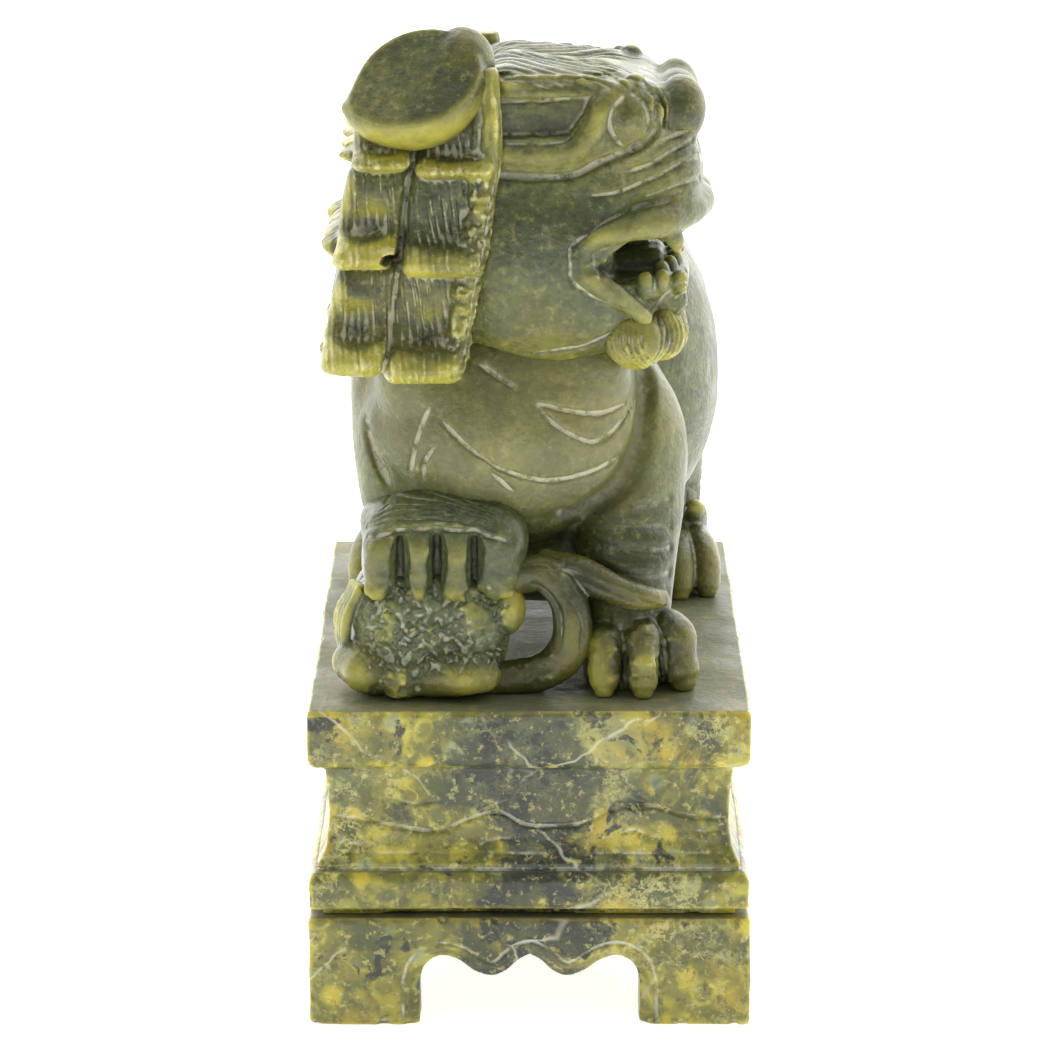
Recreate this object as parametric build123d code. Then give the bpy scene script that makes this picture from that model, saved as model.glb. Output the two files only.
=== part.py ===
from build123d import *
import math
import os

# A carved stone guardian lion with a cub under its right forepaw. The lion stands on a moulded stone
# plinth, and the plinth on a low stone stand with four bracket feet. The three stones are dry-set on
# pairs of brass dowels. Millimetres, +Z up, origin at the centre of the stand's underside. The lion's
# body lies along Y with its chest towards -Y, and its head is turned to look along +X.

# ---------------------------------------------------------------- driving dimensions
BASE_WIDTH = 80.0  # plinth cap across X
BASE_DEPTH = 118.0  # plinth cap along Y
STAND_HEIGHT = 20.8
SEAT = 60.0  # height of the plinth's top face, where the lion stands

STAND_SPREAD = 0.4  # the stand stands proud of the cap by this on every side
STAND_BEVEL = 0.8
APRON_THICKNESS = 9.0
POCKET_CEILING = 14.5
FOOT_WIDTH = 20.4  # on the narrow ends
FOOT_DEPTH = 25.0  # on the long sides
ARCH_TOP = 13.0
LOBE_BOTTOM = 9.0

MOULDING_TOP = 30.0
WAIST_TOP = 49.0
SHADOW_GAP = 1.2  # height of the rebate that parts the plinth from the stand
SHADOW_DEPTH = 1.0

DOWEL_RADIUS = 2.5
SOCKET_CLEARANCE = 0.05  # on the radius, where a stone lifts off its dowels
DOWEL_REACH = 12.0  # into each stone that the lion's dowels join
STAND_DOWEL_LOW = 16.5  # the stand's dowels run from here
STAND_DOWEL_HIGH = 30.0
SOCKET_SLACK = 0.5  # extra socket depth beyond a dowel's end
STAND_DOWEL_PLACES = [(0, -34), (0, 34)]
LION_DOWEL_PLACES = [(-18, -38), (28, 30)]

HEAD_MIDDLE_Y = -24.5  # the head is mirror-symmetric about this plane
CURL_LENGTH = 14.2  # a curl of the mane, along the side of the head
CURL_DEPTH = 13.0
CURL_GAP = 0.6
MANE_BACK = -36.5  # x of the mane's rear face


# ---------------------------------------------------------------- helpers
def ellipsoid(x, y, height, radii):
    """An ellipsoid whose centre is height above the plinth's top."""
    return Pos(x, y, SEAT + height) * scale(Sphere(1), by=radii)


def rounded_box(x, y, height, size, radius):
    box = Box(*size)
    return Pos(x, y, SEAT + height) * fillet(box.edges(), radius)


def limb(start, end, start_radius, end_radius):
    """A tapered, round-ended limb between two (x, y, height) points above the plinth's top, turned
    about the line that joins them: a cone that runs smoothly into a ball at each end."""
    a = Vector(start[0], start[1], SEAT + start[2])
    b = Vector(end[0], end[1], SEAT + end[2])
    length = (b - a).length
    lean = math.asin((start_radius - end_radius) / length)
    quarter = math.pi / 2

    def on_ball(radius, along, angle):
        return (radius * math.cos(angle), along + radius * math.sin(angle))

    tail = (0, -start_radius)
    tail_side = on_ball(start_radius, 0, (lean - quarter) / 2)
    start_touch = on_ball(start_radius, 0, lean)
    end_touch = on_ball(end_radius, length, lean)
    tip_side = on_ball(end_radius, length, (lean + quarter) / 2)
    tip = (0, length + end_radius)
    outline = [
        ThreePointArc(tail, tail_side, start_touch),
        Line(start_touch, end_touch),
        ThreePointArc(end_touch, tip_side, tip),
        Line(tip, tail),
    ]
    turned = revolve(Plane.XZ * make_face(Curve() + outline), Axis.Z)
    return Plane(origin=a, z_dir=b - a) * turned


def both_sides(shape):
    """A feature of the head together with its mirror image across the head's middle plane."""
    return [shape, mirror(shape, about=Plane.XZ.offset(-HEAD_MIDDLE_Y))]


def dowels(places, low, high, radius):
    """Upright round pins, or the sockets that hold them, at each of the places."""
    pin = Cylinder(radius, high - low, align=(Align.CENTER, Align.CENTER, Align.MIN))
    return [Pos(x, y, low) * pin for x, y in places]


def moulded_block(section):
    """A block whose four sides carry one moulding with mitred corners. section(half) makes the
    upright cross-section that reaches half a side's length out from the middle."""
    across = extrude(Plane.XZ * section(BASE_WIDTH / 2), BASE_DEPTH, both=True)
    along = extrude(Plane.YZ * section(BASE_DEPTH / 2), BASE_DEPTH, both=True)
    return across & along


# ---------------------------------------------------------------- pedestal stones
def plinth_section(half):
    """Shadow gap, round lower moulding, hollowed waist and cap, from the bottom up."""
    gap_top = STAND_HEIGHT + SHADOW_GAP
    edge = [
        Line((half - SHADOW_DEPTH, STAND_HEIGHT), (half - SHADOW_DEPTH, gap_top)),
        Line((half - SHADOW_DEPTH, gap_top), (half - 0.2, gap_top)),
        ThreePointArc((half - 0.2, gap_top), (half, gap_top + 3.5), (half - 2.0, MOULDING_TOP)),
        ThreePointArc((half - 2.0, MOULDING_TOP), (half - 3.4, 37.5), (half - 2.8, WAIST_TOP)),
        ThreePointArc((half - 2.8, WAIST_TOP), (half - 0.9, 50.0), (half, 52.5)),
        Line((half, 52.5), (half, SEAT - 0.6)),
        Line((half, SEAT - 0.6), (half - 0.6, SEAT)),
        Line((half - 0.6, SEAT), (0, SEAT)),
        Line((0, SEAT), (0, STAND_HEIGHT)),
        Line((0, STAND_HEIGHT), (half - SHADOW_DEPTH, STAND_HEIGHT)),
    ]
    right = make_face(Curve() + edge)
    return right + mirror(right, about=Plane.YZ)


def arch_face(half_opening):
    """The scalloped opening between two feet: a shoulder, a hanging lobe and a middle cusp."""
    outline = [
        Line((0, -1), (half_opening, -1)),
        Line((half_opening, -1), (half_opening, LOBE_BOTTOM)),
        Spline(
            (half_opening, LOBE_BOTTOM),
            (half_opening * 0.83, ARCH_TOP),
            (half_opening * 0.34, LOBE_BOTTOM),
            (0, ARCH_TOP),
        ),
        Line((0, ARCH_TOP), (0, -1)),
    ]
    right = make_face(Curve() + outline)
    return right + mirror(right, about=Plane.YZ)


def make_stand():
    width = BASE_WIDTH + 2 * STAND_SPREAD
    depth = BASE_DEPTH + 2 * STAND_SPREAD
    block = Pos(0, 0, STAND_HEIGHT / 2) * Box(width, depth, STAND_HEIGHT)
    block = chamfer(block.faces().sort_by(Axis.Z)[-1].edges(), STAND_BEVEL)
    pocket = Pos(0, 0, POCKET_CEILING / 2) * Box(
        width - 2 * APRON_THICKNESS, depth - 2 * APRON_THICKNESS, POCKET_CEILING
    )
    end_arch = extrude(Plane.XZ * arch_face(width / 2 - FOOT_WIDTH), depth, both=True)
    side_arch = extrude(Plane.YZ * arch_face(depth / 2 - FOOT_DEPTH), width, both=True)
    sockets = dowels(STAND_DOWEL_PLACES, STAND_DOWEL_LOW, SEAT, DOWEL_RADIUS)
    return block - pocket - end_arch - side_arch - sockets


def make_plinth():
    socket_radius = DOWEL_RADIUS + SOCKET_CLEARANCE
    lower = dowels(STAND_DOWEL_PLACES, 0, STAND_DOWEL_HIGH + SOCKET_SLACK, socket_radius)
    upper = dowels(LION_DOWEL_PLACES, SEAT - DOWEL_REACH - SOCKET_SLACK, SEAT + 1, socket_radius)
    return moulded_block(plinth_section) - lower - upper


# ---------------------------------------------------------------- the lion
def torso():
    # y, middle x, middle height, half width and half height of each section, chest to rump
    sections = [
        (-44, -5, 43, 12, 10),
        (-37, -5, 43, 24, 18),
        (-15, -3, 44, 28, 24),
        (12, 0, 43, 28, 26),
        (38, 2, 41, 27, 27),
        (50, 2, 38, 14, 17),
    ]
    rings = [
        Plane(origin=(x, y, SEAT + height), x_dir=(1, 0, 0), z_dir=(0, -1, 0)) * Ellipse(wide, high)
        for y, x, height, wide, high in sections
    ]
    neck = limb((-5, -24, 48), (-5, -24, 66), 22.5, 21)
    return [loft(rings), neck]


def hindquarters():
    parts = []
    for thigh_x, foot_x in ((18.5, 29), (-15.5, -26)):
        parts.append(limb((thigh_x, 13, 51), (thigh_x, 31, 36), 18, 17.5))
        parts.append(limb((thigh_x + 3, 36, 26), (foot_x, 36, 8), 11, 7))
        parts.append(rounded_box(foot_x, 31, 6, (14.5, 32, 13), 5))
    tail = [
        limb((2, 45, 20), (2, 48, 56), 9, 8.5),
        limb((2, 48, 56), (2, 42, 84), 8.5, 4.5),
    ]
    return parts + tail


def forelegs():
    left = [
        limb((17, -27, 38), (17.5, -39, 12), 12, 8.5),
        rounded_box(18.5, -40, 5.5, (23, 21, 13), 5),
    ]
    toe_places = ((11.5, -47.5), (18.5, -48.5), (26, -46))
    left += [ellipsoid(x, y, 5.5, (3.9, 4.5, 6.5)) for x, y in toe_places]
    right = [
        limb((-19, -26, 38), (-17, -38, 29), 12, 9.5),
        rounded_box(-16, -41, 27.5, (28.5, 19, 18), 6),
    ]
    right += [ellipsoid(x, -48.5, 25, (3.6, 3.8, 7.5)) for x in (-26.5, -19.5, -12.5, -5.5)]
    return left + right


def cub_and_ribbon():
    cub = [
        rounded_box(-18.5, -37.5, 10, (29, 25, 22), 6),
        ellipsoid(-29.5, -47.5, 5, (4.6, 4.4, 5)),
        ellipsoid(-11, -48, 4, (6, 4, 4.6)),
        ellipsoid(-20.5, -49, 3.5, (5, 3, 4)),
    ]
    ring = Plane.XZ * Pos(0.5, SEAT + 13.5) * (Ellipse(11, 13) - Ellipse(4.6, 6.8))
    loop = Pos(0, -42.5, 0) * extrude(ring, 6)
    return cub + [loop, limb((4, -44, 25), (22, -43, 16), 3.2, 2.4)]


def mane():
    """Three stepped tiers of curls, wrapped round the back of the head from ear to ear."""
    back_x = MANE_BACK + CURL_LENGTH / 2
    curls = []
    # middle height, curl height and reach of each tier's sides from the head's middle plane
    for height, tall, reach in ((67.5, 17, 26.5), (86, 17, 26.5), (101, 13, 24.5)):
        size = (CURL_LENGTH, CURL_DEPTH, tall)
        side_y = reach - CURL_DEPTH / 2
        places = [(back_x + CURL_LENGTH + CURL_GAP, side_y), (back_x, side_y), (back_x, side_y / 3)]
        for x, y in places:
            curls += both_sides(rounded_box(x, HEAD_MIDDLE_Y - y, height, size, 3.5))
    return curls


def head():
    skull = [
        rounded_box(-4, HEAD_MIDDLE_Y, 86, (52, 45, 52), 11),
        rounded_box(16.5, HEAD_MIDDLE_Y, 95.5, (29, 36, 21), 7),
        rounded_box(14, HEAD_MIDDLE_Y, 69, (27, 33, 14), 6),
        rounded_box(0.7, HEAD_MIDDLE_Y, 110.5, (45, 30.4, 8), 3),
        rounded_box(26.5, HEAD_MIDDLE_Y, 105.5, (9.5, 19, 8), 3.5),
    ]
    mouth_profile = Polyline((9, 80), (15, 75), (40, 72), (40, 81), (18, 85.5), close=True)
    mouth = Pos(0, 0, SEAT) * extrude(Plane.XZ * make_face(mouth_profile), BASE_DEPTH, both=True)
    features = mane()
    features += both_sides(ellipsoid(16, -43.5, 104, (6.5, 4, 5.5)))
    features += both_sides(ellipsoid(-20, -45.5, 110.5, (12, 5, 9.5)))
    features += both_sides(ellipsoid(22, -35, 62, (5, 6, 5)))
    features += [ellipsoid(24, HEAD_MIDDLE_Y, 61, (4, 5.5, 5))]
    tongue = rounded_box(15, HEAD_MIDDLE_Y, 77, (22, 14, 6), 2.5)
    return skull, mouth, features, tongue


def make_lion():
    skull, mouth, head_features, tongue = head()
    face = skull[0] + skull[1:] - mouth
    solids = torso() + hindquarters() + forelegs() + cub_and_ribbon() + head_features + [tongue]
    lion = face + solids
    ground = Pos(0, 0, SEAT - 25) * Box(2 * BASE_WIDTH, 2 * BASE_DEPTH, 50)
    sockets = dowels(LION_DOWEL_PLACES, SEAT - 1, SEAT + DOWEL_REACH, DOWEL_RADIUS)
    return lion - ground - sockets


# ---------------------------------------------------------------- the pieces
def make_pieces():
    return {
        "stand": make_stand(),
        "stand_dowels": Compound(
            dowels(STAND_DOWEL_PLACES, STAND_DOWEL_LOW, STAND_DOWEL_HIGH, DOWEL_RADIUS)
        ),
        "plinth": make_plinth(),
        "lion_dowels": Compound(
            dowels(LION_DOWEL_PLACES, SEAT - DOWEL_REACH, SEAT + DOWEL_REACH, DOWEL_RADIUS)
        ),
        "lion": make_lion(),
    }


os.makedirs("parts", exist_ok=True)
for node, shape in make_pieces().items():
    export_step(shape, f"parts/{node}.step")
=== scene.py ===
import math

import bpy
import numpy as np
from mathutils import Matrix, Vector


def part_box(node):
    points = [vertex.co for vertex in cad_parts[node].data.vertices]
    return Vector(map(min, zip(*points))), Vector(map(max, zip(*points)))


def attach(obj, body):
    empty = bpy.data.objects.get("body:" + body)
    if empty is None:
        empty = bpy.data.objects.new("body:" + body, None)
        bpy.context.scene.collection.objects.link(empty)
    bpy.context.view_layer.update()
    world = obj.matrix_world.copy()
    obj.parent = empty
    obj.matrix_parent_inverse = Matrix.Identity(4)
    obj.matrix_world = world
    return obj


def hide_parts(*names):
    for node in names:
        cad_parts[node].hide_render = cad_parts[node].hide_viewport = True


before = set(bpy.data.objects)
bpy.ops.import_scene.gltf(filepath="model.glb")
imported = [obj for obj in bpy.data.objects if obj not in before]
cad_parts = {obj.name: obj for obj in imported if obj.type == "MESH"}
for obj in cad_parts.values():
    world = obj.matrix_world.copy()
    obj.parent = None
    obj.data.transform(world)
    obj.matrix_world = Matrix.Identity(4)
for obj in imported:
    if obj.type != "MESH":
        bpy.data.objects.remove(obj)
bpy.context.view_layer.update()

import openvdb
from mathutils import Euler, Vector

# A carved stone guardian lion. Each piece is sculpted as a grid of distances to its surface ("clay"),
# shaped by adding and cutting simple forms, engraving lines and roughening, and then turned into one
# closed mesh. Sculpting is in millimetres: x and y as in the frame, and heights above SEAT_MM for the
# lion, above the ground for the pedestal.

MM = 0.001
SEAT_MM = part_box("plinth")[1].z / MM
STAND_LOW, STAND_HIGH = (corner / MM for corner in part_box("stand"))
PLINTH_LOW, PLINTH_HIGH = (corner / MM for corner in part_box("plinth"))
HEAD_Y = -24.5  # the head is mirror-symmetric about this plane, and looks along +x
FAR = 6.0  # distances are only kept up to this
COARSE = 1.0
NEAR = (0, 1, 0)  # looking from the near side, where most lines are drawn
IN_FRONT_Y = -62  # a plane in front of the near side, from which those lines are landed
LARGEST_JUMP = 3.0  # a landed line breaks where it would leap further than this
RELIEF_REACH = {"fine_relief": 0.8, "broad_relief": 2.6, "deep_relief": 6.0}
PIN_RADIUS = 2.5
PIN_CLEARANCE = 0.12


# ---------------------------------------------------------------- forms
def soft_min(a, b, k):
    """The smaller of two distances, rounded over where they are within k of each other."""
    if k <= 0:
        return np.minimum(a, b)
    near = np.maximum(k - np.abs(a - b), 0) / k
    return np.minimum(a, b) - near * near * (k / 4)


def turned(p, middle, turn):
    """Points seen from a form's own middle and turn (degrees about x, then y, then z)."""
    d = [p[i] - middle[i] for i in range(3)]
    if not any(turn):
        return d
    m = Euler([math.radians(a) for a in turn]).to_matrix()
    return [d[0] * m[0][i] + d[1] * m[1][i] + d[2] * m[2][i] for i in range(3)]


class Form:
    """A solid: its distance function, and the box that holds it."""

    def __init__(self, distance, low, high):
        self.distance = distance
        self.low = np.array(low, float)
        self.high = np.array(high, float)


def ball(middle, radii, turn=(0, 0, 0)):
    a, b, c = radii

    def distance(p):
        x, y, z = turned(p, middle, turn)
        k0 = np.sqrt((x / a) ** 2 + (y / b) ** 2 + (z / c) ** 2)
        k1 = np.sqrt((x / a**2) ** 2 + (y / b**2) ** 2 + (z / c**2) ** 2)
        return k0 * (k0 - 1) / np.maximum(k1, 1e-6)

    reach = np.full(3, max(radii)) if any(turn) else np.array(radii)
    return Form(distance, np.array(middle) - reach, np.array(middle) + reach)


def block(middle, size, rounding, turn=(0, 0, 0)):
    half = [s / 2 - rounding for s in size]

    def distance(p):
        q = [np.abs(v) - h for v, h in zip(turned(p, middle, turn), half)]
        outside = sum(np.maximum(v, 0) ** 2 for v in q)
        inside = np.minimum(np.maximum(np.maximum(q[0], q[1]), q[2]), 0)
        return np.sqrt(outside) + inside - rounding

    reach = np.full(3, np.linalg.norm(size) / 2) if any(turn) else np.array(size) / 2
    return Form(distance, np.array(middle) - reach, np.array(middle) + reach)


def curve(points, step):
    """A smooth curve through the points, as samples about step apart. Each point may carry a radius."""
    pts = np.array(points, float)
    if len(pts) > 2:
        ends = np.vstack([2 * pts[0] - pts[1], pts, 2 * pts[-1] - pts[-2]])
        out = []
        for i in range(len(pts) - 1):
            a, b, c, d = ends[i : i + 4]
            count = max(2, int(np.linalg.norm((c - b)[:3]) / step) + 1)
            t = np.linspace(0, 1, count, endpoint=False)[:, None]
            bend = (2 * a - 5 * b + 4 * c - d) * t**2 + (3 * b - a - 3 * c + d) * t**3
            out.append((2 * b + (c - a) * t + bend) / 2)
        return np.vstack(out + [pts[-1:]])
    count = max(2, int(np.linalg.norm((pts[1] - pts[0])[:3]) / step) + 1)
    return pts[0] + (pts[1] - pts[0]) * np.linspace(0, 1, count)[:, None]


def tube_through(samples, radii):
    """A round tube through samples that are already close together."""
    samples = np.asarray(samples, float)
    radii = np.broadcast_to(np.asarray(radii, float), (len(samples),))

    def distance(p):
        best = np.full(np.broadcast_shapes(*(np.shape(a) for a in p)), FAR, np.float32)
        axes = [np.ravel(a) for a in p]
        for i in range(len(samples) - 1):
            a, b, ra, rb = samples[i], samples[i + 1], radii[i], radii[i + 1]
            reach = max(ra, rb) + 2.2
            lo = np.minimum(a, b) - reach
            hi = np.maximum(a, b) + reach
            w = tuple(slice(*np.searchsorted(axes[k], (lo[k], hi[k]))) for k in range(3))
            if any(s.start >= s.stop for s in w):
                continue
            d = (p[0][w[0]] - a[0], p[1][:, w[1]] - a[1], p[2][:, :, w[2]] - a[2])
            along = b - a
            t = sum(d[k] * along[k] for k in range(3)) / max(along @ along, 1e-9)
            t = np.clip(t, 0, 1)
            gap = np.sqrt(sum((d[k] - t * along[k]) ** 2 for k in range(3)))
            best[w] = np.minimum(best[w], gap - (ra + t * (rb - ra)))
        return best

    reach = radii.max()
    return Form(distance, samples.min(0) - reach, samples.max(0) + reach)


def tube(points, step=1.0):
    """A round tube along a smooth curve through points of (x, y, z, radius)."""
    samples = curve(points, step)
    return tube_through(samples[:, :3], samples[:, 3])


def prism(outline, axis, low, high):
    """An outline extruded along axis 0 (in y, z) or 1 (in x, z), between low and high."""
    outline = np.array(outline, float)
    flat = 1 - axis

    def distance(p):
        d = outline_distance(outline, p[flat], p[2])
        ends = np.maximum(low - p[axis], p[axis] - high)
        return np.maximum(d, ends)

    lo, hi = np.zeros(3), np.zeros(3)
    lo[axis], hi[axis] = low, high
    lo[[flat, 2]], hi[[flat, 2]] = outline.min(0), outline.max(0)
    return Form(distance, lo, hi)


def beyond(point, normal):
    """Everything on the side of a flat face that its normal points to."""
    n = np.array(normal, float) / np.linalg.norm(normal)

    def distance(p):
        return -sum(n[k] * (p[k] - point[k]) for k in range(3))

    return Form(distance, (-200,) * 3, (200,) * 3)


def lock(x, y, facing, top, bottom, wide, lean, scoop, seed):
    """A combed lock of hair that leans outwards as it hangs, is scooped out, and ends in a thick roll.
    It faces -y when facing is 0 and -x when it is -90; lean is how far it drifts sideways."""
    turn = math.radians(facing)
    out, side = (math.sin(turn), -math.cos(turn)), (math.cos(turn), math.sin(turn))
    rng = np.random.default_rng(seed)
    middle, phase = rng.uniform(-0.25, 0.1), rng.uniform(0, 6)
    tall, rounding = top - bottom, 2.1

    def distance(p):
        t = (top - p[2]) / tall
        s = (p[0] - x) * side[0] + (p[1] - y) * side[1] - lean * (t - 0.5)
        o = (p[0] - x) * out[0] + (p[1] - y) * out[1]
        u = s / (wide / 2)
        strands = s + 0.22 * p[2]
        comb = 0.6 * np.cos(strands * 7.4 + phase + 2.6 * noise(p, 5.0, seed))
        comb = comb + 0.6 * np.cos(strands * 4.7 - phase + 2.6 * noise(p, 4.0, seed + 3))
        face = 0.2 + 3.2 * t + 3.7 * np.exp(-(((t - 0.84) / 0.17) ** 2)) - 1.3 * u**4
        above = np.where(t < 0.63, 0.28, 0.1)
        face = face - 0.85 * scoop * np.exp(-(((t - 0.63) / above) ** 2) - ((u - middle) / 0.95) ** 2)
        face = face + 0.21 * comb * (0.85 + 0.7 * noise(p, 2.6, seed + 1)) + 0.4 * noise(p, 4.0, seed + 2)
        q = [np.abs(s) - wide / 2, np.maximum(o - face, -9 - o), np.abs(p[2] - (top + bottom) / 2) - tall / 2]
        q = [v + rounding for v in q]
        outside = sum(np.maximum(v, 0) ** 2 for v in q)
        return np.sqrt(outside) + np.minimum(np.maximum(np.maximum(q[0], q[1]), q[2]), 0) - rounding

    reach = [abs(side[k]) * (wide / 2 + abs(lean)) + abs(out[k]) * 9 for k in (0, 1)]
    return Form(distance, (x - reach[0], y - reach[1], bottom), (x + reach[0], y + reach[1], top))


def outline_distance(outline, u, w):
    """Signed distance to a closed outline in one plane, negative inside."""
    best, inside = 1e9, False
    for a, b in zip(outline, np.roll(outline, -1, axis=0)):
        e = b - a
        t = np.clip(((u - a[0]) * e[0] + (w - a[1]) * e[1]) / max(e @ e, 1e-9), 0, 1)
        best = np.minimum(best, np.hypot(u - a[0] - t * e[0], w - a[1] - t * e[1]))
        crosses = (a[1] > w) != (b[1] > w)
        rise = e[1] if abs(e[1]) > 1e-9 else 1e-9
        inside = inside ^ (crosses & (u < a[0] + e[0] * (w - a[1]) / rise))
    return np.where(inside, -best, best)


def drawn(line):
    """A line of (x, height) points, held in front of the near side."""
    return [(x, IN_FRONT_Y, h) for x, h in line]


# ---------------------------------------------------------------- clay
def noise(p, size, seed):
    """Smooth random waves about size across, from -1 to 1, the same wherever the grid lies."""
    span = 90.0
    count = int(2 * span / size) + 4
    values = np.random.default_rng(seed).uniform(-1, 1, (count,) * 3).astype(np.float32)
    for axis in range(3):
        place = (np.ravel(p[axis]) + span) / size
        cell = np.clip(place.astype(int), 0, count - 2)
        t = np.clip(place - cell, 0, 1)
        t = (t * t * (3 - 2 * t)).astype(np.float32)
        shape = [1, 1, 1]
        shape[axis] = len(t)
        t = t.reshape(shape)
        values = np.take(values, cell, axis) * (1 - t) + np.take(values, cell + 1, axis) * t
    return values


def averaged(field, width):
    """Each cell as the mean of the cells within width of it."""
    for axis in range(3):
        pads = [(0, 0)] * 3
        pads[axis] = (width + 1, width)
        total = np.cumsum(np.pad(field, pads, mode="edge"), axis=axis, dtype=np.float64)
        a = [slice(None)] * 3
        b = [slice(None)] * 3
        a[axis] = slice(2 * width + 1, None)
        b[axis] = slice(0, -2 * width - 1)
        field = ((total[tuple(a)] - total[tuple(b)]) / (2 * width + 1)).astype(np.float32)
    return field


class Clay:
    """Distances to a surface on a regular grid, in millimetres, negative inside."""

    def __init__(self, low, high, voxel):
        self.voxel = voxel * COARSE
        self.low = np.array(low, float)
        count = np.ceil((np.array(high, float) - self.low) / self.voxel).astype(int) + 1
        self.field = np.full(count, FAR, np.float32)

    def window(self, low, high):
        """The part of the grid in a box: its slices, and its x, y and z."""
        first = np.floor((np.array(low) - self.low) / self.voxel).astype(int)
        last = np.ceil((np.array(high) - self.low) / self.voxel).astype(int) + 1
        first = np.clip(first, 0, self.field.shape)
        last = np.clip(last, first, self.field.shape)
        p = []
        for k in range(3):
            shape = [1, 1, 1]
            shape[k] = -1
            at = self.low[k] + self.voxel * np.arange(first[k], last[k])
            p.append(at.astype(np.float32).reshape(shape))
        return tuple(slice(a, b) for a, b in zip(first, last)), p

    def everywhere(self):
        return self.window(self.low, self.low + self.voxel * np.array(self.field.shape))[1]

    def add(self, forms, blend=0.6):
        for form in forms if isinstance(forms, list) else [forms]:
            pad = blend + 3 * self.voxel
            where, p = self.window(form.low - pad, form.high + pad)
            if self.field[where].size:
                self.field[where] = soft_min(self.field[where], form.distance(p), blend)

    def cut(self, forms, blend=0.4):
        for form in forms if isinstance(forms, list) else [forms]:
            pad = blend + 3 * self.voxel
            where, p = self.window(form.low - pad, form.high + pad)
            if self.field[where].size:
                self.field[where] = -soft_min(-self.field[where], form.distance(p), blend)

    def keep_above(self, height):
        p = self.everywhere()
        self.field = np.maximum(self.field, height - p[2])

    def mirrored(self):
        """The clay with its other half: the grid ended at the mirror plane."""
        self.field = np.concatenate([self.field, self.field[:, -2::-1]], axis=1)

    def sample(self, points):
        """The field at any points, by linear interpolation."""
        g = (np.asarray(points) - self.low) / self.voxel
        g = np.clip(g, 0, np.array(self.field.shape) - 1.001)
        i = g.astype(int)
        f = g - i
        total = 0.0
        for corner in range(8):
            o = np.array([corner >> 2 & 1, corner >> 1 & 1, corner & 1])
            weight = np.prod(np.where(o, f, 1 - f), axis=-1)
            total = total + weight * self.field[tuple(np.moveaxis(i + o, -1, 0))]
        return total

    def land(self, points, toward, reach=40.0):
        """Points moved along toward until they meet the surface, and whether each one met it."""
        toward = np.array(toward, float)
        toward /= np.linalg.norm(toward)
        step = self.voxel * 0.7
        steps = np.arange(0, reach, step)
        depth = self.sample(np.asarray(points)[:, None] + steps[None, :, None] * toward)
        first = np.argmax(depth < 0, axis=1)
        met = (depth < 0).any(axis=1) & (first > 0)
        rows = np.arange(len(first))
        before, after = depth[rows, np.maximum(first - 1, 0)], depth[rows, first]
        back = np.where(met, after / np.minimum(after - before, -1e-6), 0)
        return np.asarray(points) + (steps[first] - back * step)[:, None] * toward, met, toward

    def on_surface(self, points, toward, radius, sink, fade):
        """A tube along a drawn line, laid on the surface, sunk into it by sink, and lifted by fade at its
        ends."""
        line = curve(points, 0.6)
        landed, met, toward = self.land(line, toward)
        landed = landed + toward * (sink - radius)
        forms = []
        start = None
        for i in range(len(met) + 1):
            ok = i < len(met) and met[i]
            if ok and start and np.linalg.norm(landed[i] - landed[i - 1]) > LARGEST_JUMP:
                ok = False
            if ok and start is None:
                start = i
            if not ok and start is not None:
                if i - start > 2:
                    taper = np.minimum(1, np.minimum(np.arange(i - start), np.arange(i - start)[::-1]) / 4)
                    shift = toward * (1 - taper[:, None]) * -fade
                    forms.append(tube_through(landed[start:i] + shift, radius))
                start = None
        return forms

    def engrave(self, lines, toward, radius=0.45, depth=0.5, blend=0.15):
        for line in lines:
            self.cut(self.on_surface(line, toward, radius, depth, depth * 0.8), blend)

    def draw(self, lines, radius, depth, blend=0.15):
        """Engraves lines of (x, height) points on the near side."""
        self.engrave([drawn(line) for line in lines], NEAR, radius, depth, blend)

    def emboss(self, lines, toward, radius=1.0, height=0.6, blend=0.5):
        for line in lines:
            self.add(self.on_surface(line, toward, radius, 2 * radius - height, -height), blend)

    def scuff(self, middle, radii, amounts, seed):
        """Unpolished, picked-over stone around a place: waves of each (size, height), fading outwards."""
        middle, radii = np.array(middle, float), np.array(radii, float)
        where, p = self.window(middle - radii, middle + radii)
        away = sum(((p[k] - middle[k]) / radii[k]) ** 2 for k in range(3))
        fade = np.clip(1.6 * (1 - away), 0, 1)
        for size, height in amounts:
            self.field[where] += (height * fade * noise(p, size, seed)).astype(np.float32)
            seed += 1

    def polish(self, middle, radii, reach):
        """Rubs the surface smooth around a place, fading outwards."""
        middle, radii = np.array(middle, float), np.array(radii, float)
        where, p = self.window(middle - radii, middle + radii)
        away = sum(((p[k] - middle[k]) / radii[k]) ** 2 for k in range(3))
        fade = np.clip(2.0 * (1 - away), 0, 1)
        soft = averaged(averaged(self.field[where], round(reach / self.voxel)), round(reach / self.voxel))
        self.field[where] += (fade * (soft - self.field[where])).astype(np.float32)

    def roughen(self, amounts, seed):
        """Hand-worked unevenness: waves of each (size, height)."""
        p = self.everywhere()
        for size, height in amounts:
            self.field += height * noise(p, size, seed)
            seed += 1

    def relief(self, points, reach):
        """How far each surface point stands proud (over 0) or lies in a hollow (under 0)."""
        soft = averaged(np.clip(self.field, -reach * 2, reach * 2), max(1, round(reach / self.voxel)))
        keep, self.field = self.field, soft
        value = self.sample(points) / reach
        self.field = keep
        return value

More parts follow.
